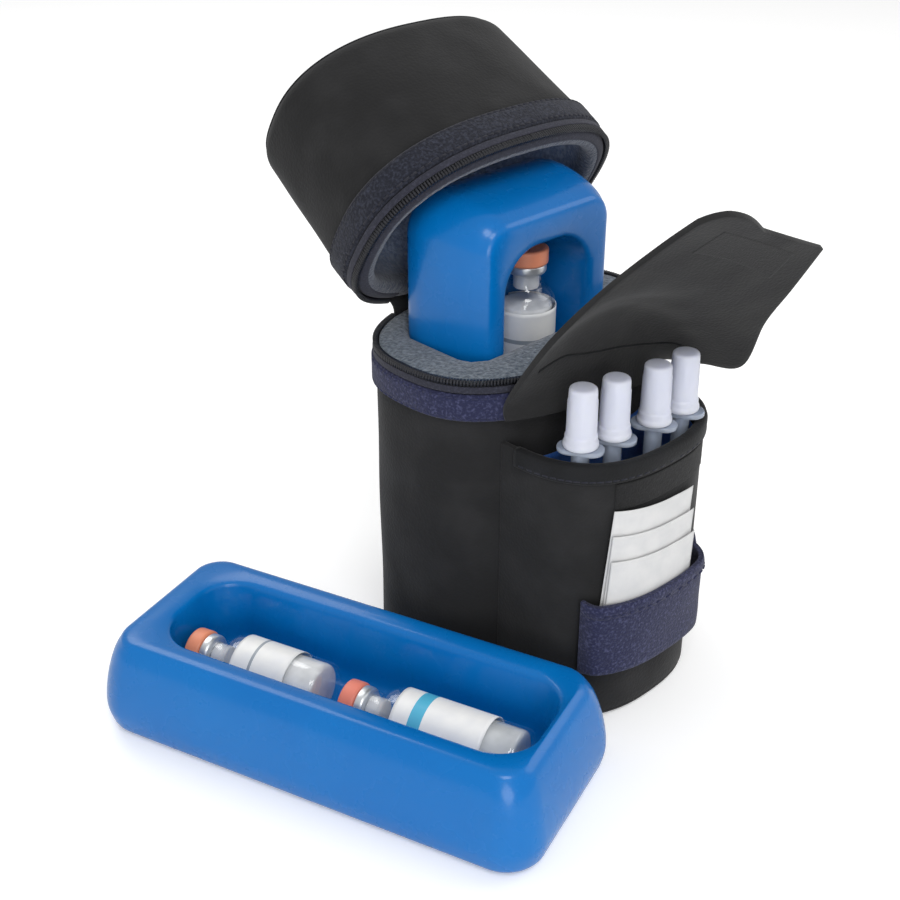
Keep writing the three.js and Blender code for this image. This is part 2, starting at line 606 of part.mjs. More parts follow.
function buildLid(parent) {
  const hinge = new THREE.Group();
  hinge.position.set(0, HINGE_LINE.y, HINGE_LINE.z);
  hinge.rotation.x = -radians(LID_OPEN_ANGLE);
  parent.add(hinge);
  const lid = new THREE.Group();
  lid.position.y = -HINGE_LINE.y;
  hinge.add(lid);

  const clothLow = ZIP_HALF_GAP + TEETH_HEIGHT + GAP;
  const topEdge = LID_HEIGHT - LID_TOP_ROUND;
  const roundOff = LID_TOP_ROUND * 0.45;
  const bandLow = clothLow + TAPE_HEIGHT + GAP;
  const bandTop = bandLow + BAND_HEIGHT;
  const topOut = -LID_TAPER;
  const sleeve = loft([
    ovalRing(0, clothLow),
    ovalRing(0, bandTop),
    ovalRing(topOut, topEdge),
    ovalRing(topOut - 0.3 * roundOff, topEdge + 0.5 * LID_TOP_ROUND),
    ovalRing(topOut - roundOff, LID_HEIGHT - CLOTH - GAP),
    ovalRing(topOut - roundOff - CLOTH, LID_HEIGHT - CLOTH - GAP),
    ovalRing(topOut - 0.3 * roundOff - CLOTH, topEdge + 0.3 * LID_TOP_ROUND),
    ovalRing(topOut - CLOTH, topEdge - GAP),
    ovalRing(-CLOTH, bandTop),
    ovalRing(-CLOTH, clothLow),
  ], true);
  piece(lid, 'lid_sleeve', sleeve, FINISH.blackCloth);
  const top = loft([
    ovalRing(topOut - roundOff - CLOTH, LID_HEIGHT - CLOTH),
    ovalRing(topOut - roundOff + 0.4, LID_HEIGHT - CLOTH),
    ovalRing(topOut - roundOff - 0.6, LID_HEIGHT - 0.5 * CLOTH),
    ovalRing(topOut - roundOff - TOP_PANEL_CROWN, LID_HEIGHT),
  ]);
  piece(lid, 'lid_top_panel', top, FINISH.blackCloth);

  const foamOut = -CLOTH - GAP;
  const foamIn = foamOut - LID_FOAM;
  const fleeceOut = foamIn - GAP;
  const fleeceIn = fleeceOut - LID_FLEECE;
  const rimFleece = clothLow - TEETH_HEIGHT * 0.6;
  const foamLow = rimFleece + LID_FLEECE + GAP;
  const foamTop = LID_HEIGHT - CLOTH - GAP;
  const ceiling = foamTop - LID_FOAM - GAP;
  const foam = loft([
    ovalRing(topOut - roundOff - CLOTH - GAP - 1, foamTop),
    ovalRing(topOut + foamOut - roundOff, topEdge + 0.3 * LID_TOP_ROUND),
    ovalRing(topOut + foamOut, topEdge - LID_TOP_ROUND * 0.5),
    ovalRing(foamOut, bandTop),
    ovalRing(foamOut, foamLow),
    ovalRing(foamIn, foamLow),
    ovalRing(foamIn, bandTop),
    ovalRing(topOut + foamIn, ceiling + GAP),
  ]);
  piece(lid, 'lid_insulation', foam, FINISH.foam);
  const fleece = loft([
    ovalRing(topOut + fleeceOut, ceiling),
    ovalRing(fleeceOut, bandTop),
    ovalRing(fleeceOut, foamLow - GAP),
    ovalRing(foamOut, foamLow - GAP),
    ovalRing(foamOut, rimFleece),
    ovalRing(fleeceIn, rimFleece),
    ovalRing(fleeceIn, bandTop),
    ovalRing(topOut + fleeceIn, ceiling - LID_FLEECE),
  ]);
  piece(lid, 'lid_liner', fleece, FINISH.greyFleece);

  const teeth = ovalStrip(-CLOTH, TEETH_OUT, ZIP_HALF_GAP, ZIP_HALF_GAP + TEETH_HEIGHT);
  piece(lid, 'lid_zip_teeth', teeth, FINISH.zipTeeth);
  const tape = ovalStrip(ON_CLOTH, ON_CLOTH + TAPE_THICKNESS, clothLow, clothLow + TAPE_HEIGHT);
  piece(lid, 'lid_zip_tape', tape, FINISH.zipTape);
  const band = ovalStrip(ON_CLOTH, ON_CLOTH + BAND_THICKNESS, bandLow, bandTop);
  piece(lid, 'lid_band', band, FINISH.navyCloth);
}

// The cloth hinge: a strip up the body's back that bends over to the open lid's back
function buildHinge(parent) {
  const bend = radians(LID_OPEN_ANGLE);
  const reach = HINGE_WIDTH / 2 - 2 * GAP;
  const columns = 10;
  const near = HALF_DEPTH + GAP - HINGE_LINE.y;
  const far = near + HINGE_THICKNESS;
  const layer = (offset) => {
    const grid = [];
    for (let c = 0; c <= columns; c++) {
      const x = -reach + (2 * reach * c) / columns;
      const shift = HALF_DEPTH + frontWallY(x);
      const y = offset - shift;
      const turn = (angle, height) => vec(
        x,
        HINGE_LINE.y + y * Math.cos(angle) + height * Math.sin(angle),
        HINGE_LINE.z - y * Math.sin(angle) + height * Math.cos(angle),
      );
      const bodyEnd = turn(0, -HINGE_LEG);
      const bodyTop = turn(0, -1);
      const middle = turn(bend / 2, 0);
      const lidTop = turn(bend, 1);
      grid.push([bodyEnd, bodyTop, middle, lidTop, turn(bend, HINGE_LEG)]);
    }
    return grid;
  };
  piece(parent, 'lid_hinge_strip', slab(layer(far), layer(near)), FINISH.blackCloth);
}

// Zip slider at the end of the body's teeth, with its pull tab hanging
function buildSlider(parent) {
  const angle = radians(SLIDER_ANGLE);
  const seat = ovalPoint(angle, 0, 0);
  const ahead = ovalPoint(angle + 0.01, 0, 0).sub(seat).normalize();
  const group = new THREE.Group();
  group.position.set(seat.x, seat.y, 0);
  group.rotation.z = Math.atan2(ahead.y, ahead.x);
  parent.add(group);
  const { width, thickness, height } = SLIDER_SIZE;
  const outward = -(TEETH_OUT + GAP + thickness / 2);
  const sliderTop = BODY_HEIGHT;
  const sliderBody = new THREE.BoxGeometry(width, thickness, height);
  sliderBody.translate(0, outward, sliderTop - height / 2);
  piece(group, 'zip_slider', sliderBody, FINISH.zipMetal);
  const tab = new THREE.BoxGeometry(TAB_SIZE.width, TAB_SIZE.thickness, TAB_SIZE.height);
  const tabOut = outward - thickness / 2 - GAP - TAB_SIZE.thickness / 2;
  tab.translate(0, tabOut, sliderTop - 2 - TAB_SIZE.height / 2);
  piece(group, 'zip_pull_tab', tab, FINISH.zipMetal);
}

// Cold packs, lying with the well upwards, long side along X

function coldPack() {
  const ring = (inset, share) => {
    const corner = PACK_CORNER - inset / 2;
    return slotRing(PACK_LENGTH - 2 * inset, PACK_WIDTH - 2 * inset, corner, share * PACK_THICKNESS);
  };
  const well = (spread, z) => {
    const corner = WELL_CORNER + spread / 2;
    return slotRing(WELL_LENGTH + spread, WELL_WIDTH + spread, corner, z, [WELL_ALONG, 0]);
  };
  const top = PACK_THICKNESS;
  const round = WELL_ROUND;
  const rings = [
    ring(PACK_FOOT_INSET, 0),
    ring(0.33 * PACK_FOOT_INSET, 0.06),
    ring(0.07 * PACK_FOOT_INSET, 0.18),
    ring(0, 0.32),
    ring(0.13 * PACK_CREST_INSET, 0.55),
    ring(0.38 * PACK_CREST_INSET, 0.78),
    ring(0.65 * PACK_CREST_INSET, 0.92),
    ring(PACK_CREST_INSET, 1),
    well(0.7 * round, top - 0.06 * round),
    well(0.2 * round, top - 0.4 * round),
    well(-WELL_DRAFT, WELL_FLOOR + 0.5 * round),
    well(-WELL_DRAFT - 0.5 * round, WELL_FLOOR + 0.1 * round),
    well(-WELL_DRAFT - 0.9 * round, WELL_FLOOR),
  ];
  return loft(rings);
}

// A vial along +X from its base at the origin: glass, crimp ring, cap and wrapped label
function buildVial(parent, name, length) {
  const bodyLength = length - VIAL_CAP_HEIGHT - VIAL_CRIMP_HEIGHT - VIAL_NECK_HEIGHT - 2 * GAP;
  const r = VIAL_RADIUS;
  const neckTop = bodyLength + VIAL_NECK_HEIGHT;
  const glass = turned([
    [0, 0], [r - 1.5, 0], [r, 1.5], [r, bodyLength - VIAL_SHOULDER],
    [r - 1.2, bodyLength - VIAL_SHOULDER * 0.5], [VIAL_NECK_RADIUS, bodyLength], [VIAL_NECK_RADIUS, neckTop],
    [0, neckTop],
  ]);
  const crimpTop = neckTop + GAP + VIAL_CRIMP_HEIGHT;
  const crimp = turned([
    [0, neckTop + GAP], [VIAL_CAP_RADIUS - 0.6, neckTop + GAP], [VIAL_CAP_RADIUS - 0.6, crimpTop], [0, crimpTop],
  ]);
  const capLow = crimpTop + GAP;
  const cap = turned([
    [0, capLow], [VIAL_CAP_RADIUS, capLow], [VIAL_CAP_RADIUS, length - 0.8],
    [VIAL_CAP_RADIUS - 0.8, length], [0, length],
  ]);
  const labelIn = r + 0.1;
  const labelOut = labelIn + LABEL_THICKNESS;
  const labelHigh = bodyLength - VIAL_SHOULDER - 1;
  const label = turned([
    [labelIn, LABEL_START], [labelOut, LABEL_START], [labelOut, labelHigh], [labelIn, labelHigh], [labelIn, LABEL_START],
  ]);
  const pieces = { glass, crimp, cap, label };
  const finishes = { glass: FINISH.glass, crimp: FINISH.crimp, cap: FINISH.orangeCap, label: FINISH.paper };
  Object.keys(pieces).forEach((kind) => {
    pieces[kind].rotateY(Math.PI / 2);
    piece(parent, `${name}_${kind}`, pieces[kind], finishes[kind]);
  });
}

// A pack with its two vials in the well, cap ends towards -X
function buildPack(parent, name, lengths, across, firstGap, betweenGap) {
  piece(parent, `cold_pack_${name}`, coldPack(), FINISH.bluePlastic);
  const axisHeight = WELL_FLOOR + GAP + VIAL_RADIUS + 0.1 + LABEL_THICKNESS;
  const wellEnd = WELL_ALONG + WELL_LENGTH / 2 - WELL_DRAFT;
  let base = wellEnd - firstGap;
  lengths.forEach((length, i) => {
    const holder = new THREE.Group();
    holder.position.set(base, across, axisHeight);
    holder.rotation.z = Math.PI;
    parent.add(holder);
    buildVial(holder, `vial_${name}_${i + 1}`, length);
    base -= length + betweenGap;
  });
}

// The upright pack stands on the end that its well comes nearest to
function buildPacks(parent) {
  const upright = new THREE.Group();
  const turn = new THREE.Matrix4().makeBasis(vec(0, 0, -1), vec(1, 0, 0), vec(0, -1, 0));
  upright.setRotationFromMatrix(turn);
  upright.position.set(0, PACK_BACK_OFFSET, CAVITY_FLOOR + GAP + PACK_LENGTH / 2);
  parent.add(upright);
  buildPack(upright, 'upright', VIAL_LENGTHS_UPRIGHT, VIAL_ACROSS, GAP, GAP);

  const loose = new THREE.Group();
  loose.position.set(...PACK_LOOSE_PLACE, 0);
  loose.rotation.z = radians(PACK_LOOSE_YAW);
  parent.add(loose);
  buildPack(loose, 'loose', VIAL_LENGTHS_LOOSE, -VIAL_ACROSS, 2 * GAP, VIAL_STAGGER);
}

// Syringes

function buildSyringe(parent, number, [shareAcross, shareOut]) {
  const group = new THREE.Group();
  const x = POCKET_CENTRE + shareAcross * POCKET_HALF_WIDTH;
  const y = POCKET_ROOT_Y - shareOut * POCKET_REACH;
  group.position.set(x, y, FLOOR_REST);
  parent.add(group);
  const name = `syringe_${number}`;
  const r = SYRINGE_BARREL_RADIUS;
  const flangeTop = SYRINGE_FLANGE_TOP - FLOOR_REST;
  const flangeLow = SYRINGE_FLANGE_LOW - FLOOR_REST;
  const shield = turned([
    [0, 0], [SHIELD_TIP_RADIUS, 0], [SHIELD_TIP_RADIUS + 0.4, SHIELD_TIP_LENGTH], [r, SHIELD_TIP_LENGTH + SHIELD_STEP],
    [r, SHIELD_LENGTH], [0, SHIELD_LENGTH],
  ], 10);
  piece(group, `${name}_shield`, shield, FINISH.orangeCap);

  const tube = turned([
    [0, SHIELD_LENGTH + GAP], [r, SHIELD_LENGTH + GAP], [r, flangeTop], [0, flangeTop],
  ], 10);
  const ears = new THREE.Shape();
  const half = (FLANGE_LENGTH - FLANGE_WIDTH) / 2;
  ears.absarc(half, 0, FLANGE_WIDTH / 2, -Math.PI / 2, Math.PI / 2);
  ears.absarc(-half, 0, FLANGE_WIDTH / 2, Math.PI / 2, (3 * Math.PI) / 2);
  const flange = new THREE.ExtrudeGeometry(ears, { depth: FLANGE_THICKNESS, bevelEnabled: false, curveSegments: 5 });
  flange.rotateZ(radians(FLANGE_TURN));
  flange.translate(0, 0, flangeLow);
  const barrel = toSolid(tube).add(toSolid(facingOut(flange)));
  piece(group, `${name}_barrel`, fromSolid(barrel), FINISH.clearPlastic);

  const capLow = flangeTop + GAP;
  const capTop = SYRINGE_TOP - FLOOR_REST;
  const c = PLUNGER_CAP_RADIUS;
  const cap = turned([
    [0, capLow], [c, capLow], [c * 0.97, capLow + 3], [c * 0.88, capTop - 2], [c * 0.76, capTop], [0, capTop],
  ], 12);
  piece(group, `${name}_plunger_cap`, cap, FINISH.milkyPlastic);
}

buildBody(model);
buildPocket(model);
buildPackets(model);
buildFlap(model);
buildHinge(model);
buildLid(model);
buildSlider(model);
buildPacks(model);
SYRINGE_PLACES.forEach((place, i) => buildSyringe(model, i + 1, place));

export default model;
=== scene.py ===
"""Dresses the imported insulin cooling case: cloth, fleece, zip, cold packs, vials, syringes and packets."""
from __future__ import annotations

import logging
import math
from bisect import bisect_left
from dataclasses import dataclass
from enum import Enum
from functools import lru_cache
from typing import Callable, Iterable, Sequence

import bmesh
import bpy
from mathutils import Matrix, Vector, noise

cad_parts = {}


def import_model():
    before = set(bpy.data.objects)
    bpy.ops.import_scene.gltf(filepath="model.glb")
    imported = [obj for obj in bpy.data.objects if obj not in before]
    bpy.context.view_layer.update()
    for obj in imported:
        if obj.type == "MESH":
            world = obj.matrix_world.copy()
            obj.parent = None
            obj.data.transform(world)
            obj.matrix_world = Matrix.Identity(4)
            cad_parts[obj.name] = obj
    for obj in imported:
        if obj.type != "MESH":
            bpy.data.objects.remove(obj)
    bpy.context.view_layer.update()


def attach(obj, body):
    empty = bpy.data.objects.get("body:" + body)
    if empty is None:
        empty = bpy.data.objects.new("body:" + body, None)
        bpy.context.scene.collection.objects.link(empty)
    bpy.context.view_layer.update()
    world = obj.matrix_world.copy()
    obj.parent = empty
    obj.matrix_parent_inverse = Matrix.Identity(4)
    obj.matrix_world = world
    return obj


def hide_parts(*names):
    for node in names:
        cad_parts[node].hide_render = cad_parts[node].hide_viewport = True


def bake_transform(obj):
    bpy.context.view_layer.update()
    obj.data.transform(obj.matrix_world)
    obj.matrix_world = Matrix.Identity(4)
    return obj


LOG = logging.getLogger("cooling_case")
MM = 0.001
TURN = 2 * math.pi

Node = bpy.types.Node
Piece = bpy.types.Object
Socket = bpy.types.NodeSocket
Tree = bpy.types.NodeTree
Place = Callable[[float, float], Vector]
Path = Callable[[float], Vector]
Profile = Sequence[tuple[float, float]]
Rows = Sequence[Sequence[float]]
Pair = tuple[float, float]
Triple = tuple[float, float, float]


class Body(Enum):
    """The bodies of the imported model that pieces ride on."""

    CASE = "case_body"
    LID = "lid"
    TAB = "pull_tab"
    FLAP = "flap"
    UPRIGHT = "upright_pack"
    LOOSE = "loose_pack"


class Slot(Enum):
    """The record's material slots."""

    CLOTH = "black_cloth"
    HEM = "black_hem"
    NAVY = "navy_cloth"
    FLEECE = "grey_fleece"
    TAPE = "zip_tape"
    TEETH = "zip_teeth"
    METAL = "zip_metal"
    HOOKS = "hook_loop"
    BLUE = "blue_plastic"
    GLASS = "vial_glass"
    LABEL = "label_paper"
    CRIMP = "crimp_metal"
    ORANGE = "orange_plastic"
    MILKY = "milky_plastic"
    CLEAR = "clear_plastic"
    PACKET = "packet_paper"


# Finishes


def linear(colour: str) -> tuple[float, float, float, float]:
    """Turns an sRGB hex colour into linear values.

    Args:
        colour: six hex digits after a number sign.

    Returns:
        Red, green, blue and an alpha of one.
    """
    parts = [int(colour[i:i + 2], 16) / 255 for i in (1, 3, 5)]
    straight = [p / 12.92 if p <= 0.04045 else ((p + 0.055) / 1.055) ** 2.4 for p in parts]
    return (straight[0], straight[1], straight[2], 1.0)


def feed(tree: Tree, node: Node, feeds: dict) -> None:
    """Sets sockets of a node, each to a value or to another node's output."""
    for socket, value in feeds.items():
        if isinstance(value, Socket):
            tree.links.new(value, node.inputs[socket])
        else:
            node.inputs[socket].default_value = value


def add(tree: Tree, kind: str, feeds: dict | None = None, **settings: object) -> Node:
    """Adds one shader node.

    Args:
        tree: the material's node tree.
        kind: the node's type name.
        feeds: what goes into its sockets, a value or another node's output for each.
        settings: the node's own properties.

    Returns:
        The new node.
    """
    made = tree.nodes.new(kind)
    for key, value in settings.items():
        setattr(made, key, value)
    feed(tree, made, feeds or {})
    return made


def grain(tree: Tree, where: Socket, size_mm: float, detail: float = 2.0) -> Socket:
    """Returns a noise with features about size_mm apart on coordinates in metres."""
    feeds = {"Vector": where, "Scale": 1.0 / (size_mm * MM), "Detail": detail}
    return add(tree, "ShaderNodeTexNoise", feeds).outputs["Fac"]


def ranged(tree: Tree, value: Socket, start: Pair = (0.0, 1.0), to: Pair = (0.0, 1.0)) -> Socket:
    """Returns a value carried from one range to another and held inside it."""
    feeds = {"Value": value, "From Min": start[0], "From Max": start[1], "To Min": to[0], "To Max": to[1]}
    return add(tree, "ShaderNodeMapRange", feeds).outputs["Result"]


def mixed(tree: Tree, share: Socket, first: object, second: object, blend: str = "MIX") -> Socket:
    """Returns the mix of two colours."""
    feeds = {"Factor": share, 6: first, 7: second}
    return add(tree, "ShaderNodeMix", feeds, data_type="RGBA", blend_type=blend).outputs[2]


def reckon(tree: Tree, operation: str, first: object, second: object) -> Socket:
    """Returns the result of one sum on two numbers."""
    return add(tree, "ShaderNodeMath", {0: first, 1: second}, operation=operation).outputs[0]


def bumped(tree: Tree, height: Socket, strength: float, depth_mm: float,
           under: Socket | None = None) -> Socket:
    """Returns a bumped normal, laid over another one where that is given."""
    feeds: dict = {"Height": height, "Strength": strength, "Distance": depth_mm * MM}
    if under is not None:
        feeds["Normal"] = under
    return add(tree, "ShaderNodeBump", feeds).outputs["Normal"]


@dataclass(frozen=True)
class Finish:
    """A finish that can be made into one shared material."""

    name: str
    colour: str
    roughness: float

    def material(self) -> bpy.types.Material:
        """Returns the material of this finish, made on first use."""
        found = bpy.data.materials.get(self.name)
        if found:
            return found
        made = bpy.data.materials.new(self.name)
        made.use_nodes = True
        made.diffuse_color = linear(self.colour)
        tree = made.node_tree
        shader = tree.nodes["Principled BSDF"]
        place = add(tree, "ShaderNodeTexCoord")
        feed(tree, shader, {"Base Color": linear(self.colour), "Roughness": self.roughness})
        feed(tree, shader, self.dress(tree, place.outputs["Object"], place.outputs["UV"]))
        return made

    def dress(self, tree: Tree, where: Socket, surface: Socket) -> dict:
        """Builds the surface's detail.

        Args:
            tree: the material's node tree.
            where: coordinates in metres.
            surface: the piece's own map.

        Returns:
            What goes into the shader's sockets; nothing for a plain finish.
        """
        return {}

    def mottle(self, tree: Tree, where: Socket, size_mm: float, other: str, span: Pair,
               detail: float = 2.0) -> Socket:
        """Varies the base colour towards another one in patches.

        Args:
            tree: the material's node tree.
            where: coordinates in metres.
            size_mm: distance between patches.
            other: the second colour.
            span: noise values where the second colour starts and where it is full.
            detail: how ragged the patches are.

        Returns:
            The mixed colour.
        """
        share = ranged(tree, grain(tree, where, size_mm, detail), span)
        return mixed(tree, share, linear(self.colour), linear(other))


@dataclass(frozen=True)
class Knit(Finish):
    """Polyester knit: matt, with fine loops, a soft sheen at grazing angles and faint rubbed patches."""

    rubbed: str
    sheen: float
    loop_mm: float = 1.1
    patch_mm: float = 17.0
    fold_mm: float = 24.0

    def dress(self, tree: Tree, where: Socket, surface: Socket) -> dict:
        """Adds rubbed patches, a sheen, and knit loops that are drawn coarser than real ones."""
        loops = add(tree, "ShaderNodeTexVoronoi", {"Vector": where, "Scale": 1.0 / (self.loop_mm * MM)})
        soft = bumped(tree, grain(tree, where, self.fold_mm, 1.0), 0.35, 4.0)
        return {"Base Color": self.mottle(tree, where, self.patch_mm, self.rubbed, (0.42, 0.7)),
                "Normal": bumped(tree, loops.outputs["Distance"], 0.3, 0.3, soft),
                "Sheen Weight": self.sheen, "Sheen Roughness": 0.5, "Specular IOR Level": 0.25}


@dataclass(frozen=True)
class Heather(Finish):
    """Brushed heather cloth: dark yarn flecked with paler fibres, quite matt."""

    fleck: str
    fleck_mm: float = 1.0
    low: float = 0.5
    high: float = 0.72
    pile: float = 0.5
    sheen: float = 0.3
    lit_rim_shade: str = ""
    lit_rim_shade_to: float = 0.5

    def dress(self, tree: Tree, where: Socket, surface: Socket) -> dict:
        """Adds flecks, a fibrous bump and, where asked, painted shade that darkens the lit rim along the
        piece's own map.
        """
        colour = self.mottle(tree, where, self.fleck_mm, self.fleck, (self.low, self.high), 3.0)
        # Painted shade: where asked, the lit rim is multiplied darker by a grey, to match the shaded hollow
        # beyond it.
        if self.lit_rim_shade:
            spread = add(tree, "ShaderNodeSeparateXYZ", {"Vector": surface})
            rim = ranged(tree, spread.outputs["Y"], (self.lit_rim_shade_to, self.lit_rim_shade_to * 0.85))
            colour = mixed(tree, rim, colour, linear(self.lit_rim_shade), "MULTIPLY")
        fibres = grain(tree, where, self.fleck_mm * 0.8, 3.0)
        return {"Base Color": colour, "Normal": bumped(tree, fibres, self.pile, 0.9),
                "Sheen Weight": self.sheen, "Sheen Roughness": 0.6, "Specular IOR Level": 0.15}


@dataclass(frozen=True)
class Moulded(Finish):
    """Moulded plastic: even colour with a slight orange-peel skin, so highlights are broad and uneven."""

    other: str
    skin_mm: float = 2.2
    skin: float = 0.06
    coat: float = 0.0
    milk: float = 0.0
    clear: float = 0.0
    ior: float = 1.49
    shine: float = 0.5
    drift_mm: float = 38.0
    handled_mm: float = 11.0

    def dress(self, tree: Tree, where: Socket, surface: Socket) -> dict:
        """Adds faint colour drift, a moulded skin, handled spots and, where asked, translucency."""
        spots = grain(tree, where, self.handled_mm, 3.0)
        feeds = {"Base Color": self.mottle(tree, where, self.drift_mm, self.other, (0.4, 0.75)),
                 "Normal": bumped(tree, grain(tree, where, self.skin_mm), self.skin, 1.0),
                 "Roughness": ranged(tree, spots, (0.3, 0.7), (self.roughness * 0.85, self.roughness * 1.2)),
                 "IOR": self.ior, "Coat Weight": self.coat, "Coat Roughness": 0.12,
                 "Specular IOR Level": self.shine, "Transmission Weight": self.clear}
        if self.milk:
            feeds |= {"Subsurface Weight": self.milk, "Subsurface Radius": (0.004, 0.004, 0.005),
                      "Subsurface Scale": 1.0}
        return feeds


@dataclass(frozen=True)
class Metal(Finish):
    """Pressed metal: reflective, with fine wear that dulls it in spots."""

    metallic: float = 0.8
    wear_mm: float = 1.6

    def dress(self, tree: Tree, where: Socket, surface: Socket) -> dict:
        """Adds metalness and fine wear."""
        wear = grain(tree, where, self.wear_mm, 4.0)
        return {"Roughness": ranged(tree, wear, to=(self.roughness * 0.7, self.roughness * 1.5)),
                "Metallic": self.metallic}


@dataclass(frozen=True)
class Clear(Finish):
    """Drawn glass: colourless, so the eye sees bright edges and reflections over whatever lies behind."""

    plain: float = 0.04
    edge: float = 0.6
    steepness: float = 3.0
    wave_mm: float = 9.0

    def dress(self, tree: Tree, where: Socket, surface: Socket) -> dict:
        """Shows a reflection that is faint seen straight on and stronger towards the edges."""
        wave = bumped(tree, grain(tree, where, self.wave_mm), 0.06, 1.0)
        slant = add(tree, "ShaderNodeLayerWeight", {"Blend": 0.5, "Normal": wave})
        steep = reckon(tree, "POWER", slant.outputs["Facing"], self.steepness)
        return {"Normal": wave, "Alpha": ranged(tree, steep, to=(self.plain, self.edge)), "Metallic": 1.0}


@dataclass(frozen=True)
class Liquid(Finish):
    """Medicine in its vial: a colourless liquid, pale and milky where it is cloudy."""

    cloud: float
    ior: float = 1.34
    swirl_mm: float = 7.0

    def dress(self, tree: Tree, where: Socket, surface: Socket) -> dict:
        """Adds slow swirls of cloud to a clear liquid."""
        swirl = grain(tree, where, self.swirl_mm)
        haze = ranged(tree, swirl, (0.3, 0.7), (1.0 - self.cloud * 1.15, 1.0 - self.cloud * 0.85))
        return {"Transmission Weight": haze, "IOR": self.ior}


@dataclass(frozen=True)
class Printed(Finish):
    """Coated paper: smooth white, with one plain printed band along the piece's own map where asked."""

    worn: str = "#e9eaec"
    band: str = ""
    band_from: float = 0.0
    band_to: float = 0.0
    stain_mm: float = 6.0
    fibre_mm: float = 0.9

    def dress(self, tree: Tree, where: Socket, surface: Socket) -> dict:
        """Adds a paper grain and, where asked, one printed band."""
        paper = self.mottle(tree, where, self.stain_mm, self.worn, (0.35, 0.8))
        if self.band:
            along = add(tree, "ShaderNodeSeparateXYZ", {"Vector": surface}).outputs["X"]
            over = reckon(tree, "GREATER_THAN", along, self.band_from)
            under = reckon(tree, "LESS_THAN", along, self.band_to)
            paper = mixed(tree, reckon(tree, "MULTIPLY", over, under), paper, linear(self.band))
        fibres = bumped(tree, grain(tree, where, self.fibre_mm, 3.0), 0.12, 0.3)
        return {"Base Color": paper, "Normal": fibres, "Coat Weight": 0.15}


# Foam-backed knit on body and pocket: soft near-black, a touch paler where it is rubbed.
KNIT = Knit("foam-backed_black_knit", "#1f1f20", 0.92, rubbed="#272728", sheen=0.08)
# The same knit on the lid, which takes the key light: painted a shade darker, so that both look alike.
KNIT_LID = Knit("foam-backed_black_knit_painted_darker", "#1d1d1e", 0.92, rubbed="#252526", sheen=0.08)
# The flap's knit is brushed: charcoal, the palest of the black cloths.
KNIT_FLAP = Knit("brushed_black_knit", "#222223", 0.92, rubbed="#292929", sheen=0.1)
# Flat woven tape: the darkest black, a thin line along hems and seams.
BINDING = Knit("woven_black_binding", "#141517", 0.8, rubbed="#1b1c1f", loop_mm=0.8, sheen=0.06)
# Brushed loops and moulded hooks: dull patches that hardly stand out from the cloth.
LOOPS = Heather("brushed_loop_pile", "#1e1e1f", 1.0, fleck="#272728", fleck_mm=0.9, pile=0.3, sheen=0.08)
HOOKS = Heather("moulded_hook_tape", "#222223", 1.0, fleck="#2a2a2a", fleck_mm=0.9, pile=0.3, sheen=0.1)
# Heather yarn: navy that glints with small grey-violet flecks.
NAVY = Heather("navy_heather_cloth", "#232643", 0.95, fleck="#454868", sheen=0.12)
# The lid's heather band: slate, duller than the body's navy.
SLATE = Heather("slate_heather_band", "#1b1d27", 0.95, fleck="#343744", low=0.45, sheen=0.1)
# Woven taffeta inside the pocket: clear blue that is deep in the pocket's shade.
LINING = Heather("blue_taffeta_lining", "#2a57a0", 0.8, fleck="#3362ab", fleck_mm=0.9, pile=0.2, sheen=0.1)
# Brushed fleece: mottled grey with a soft, uneven pile.
FLEECE = Heather("pale_grey_fleece", "#414d5a", 1.0, fleck="#7f8890", fleck_mm=1.5, pile=0.9, low=0.4,
                 high=0.75)
# The lid's fleece: bluer; painted paler to lift the shade inside the lid's hollow, with painted shade
# darkening its lit rim by the zip.
FLEECE_LID = Heather("blue_grey_fleece", "#7485a3", 1.0, fleck="#a3b0c8", fleck_mm=1.5, pile=0.9, low=0.42,
                     lit_rim_shade="#807e7c", lit_rim_shade_to=0.55)
# Closed-cell foam: flat mid grey, seen only when a piece is taken away.
FOAM = Heather("closed_cell_foam", "#4a4d53", 1.0, fleck="#5a5d63", fleck_mm=2.0)
# Woven zip tape: dark blue-grey, matt beside the teeth.
TAPE = Heather("woven_zip_tape", "#2a2b36", 0.9, fleck="#3c3d4a", fleck_mm=0.8, pile=0.3, sheen=0.1)
# Nylon coil: black with a small glint on every tooth.
TEETH = Moulded("nylon_coil_teeth", "#1d1e23", 0.45, other="#26272d", shine=0.3)
# Polyester thread: fine dashes just paler than the cloth under them.
THREAD = Knit("polyester_thread", "#25262f", 0.8, rubbed="#2d2e37", loop_mm=0.5, sheen=0.05)
THREAD_NAVY = Knit("navy_polyester_thread", "#2b2e4a", 0.8, rubbed="#343755", loop_mm=0.5, sheen=0.05)
# Enamelled die-cast zinc: dark grey with sharp small highlights.
ENAMEL = Metal("dark_enamelled_zinc", "#3c3d42", 0.3)
# Blow-moulded polyethylene: full blue with broad, soft highlights on every rounded edge.
BLUE = Moulded("blue_polyethylene", "#006ab6", 0.27, other="#006fbb", skin_mm=6.0, skin=0.03, coat=0.25,
               shine=0.25)
# Drawn glass: hardly seen but for its bright outline.
GLASS = Clear("clear_vial_glass", "#ffffff", 0.03)
# Medicine: a pale liquid, clearer in one kind of vial and whiter in the other.
MEDICINE = Liquid("clear_medicine", "#eef2f5", 0.06, cloud=0.65)
MEDICINE_CLOUDY = Liquid("cloudy_medicine", "#f2f4f6", 0.2, cloud=0.85)
# Butyl rubber: a dull pale plug in the neck.
STOPPER = Moulded("pale_butyl_rubber", "#d6d9de", 0.7, other="#c8ccd2", ior=1.52)
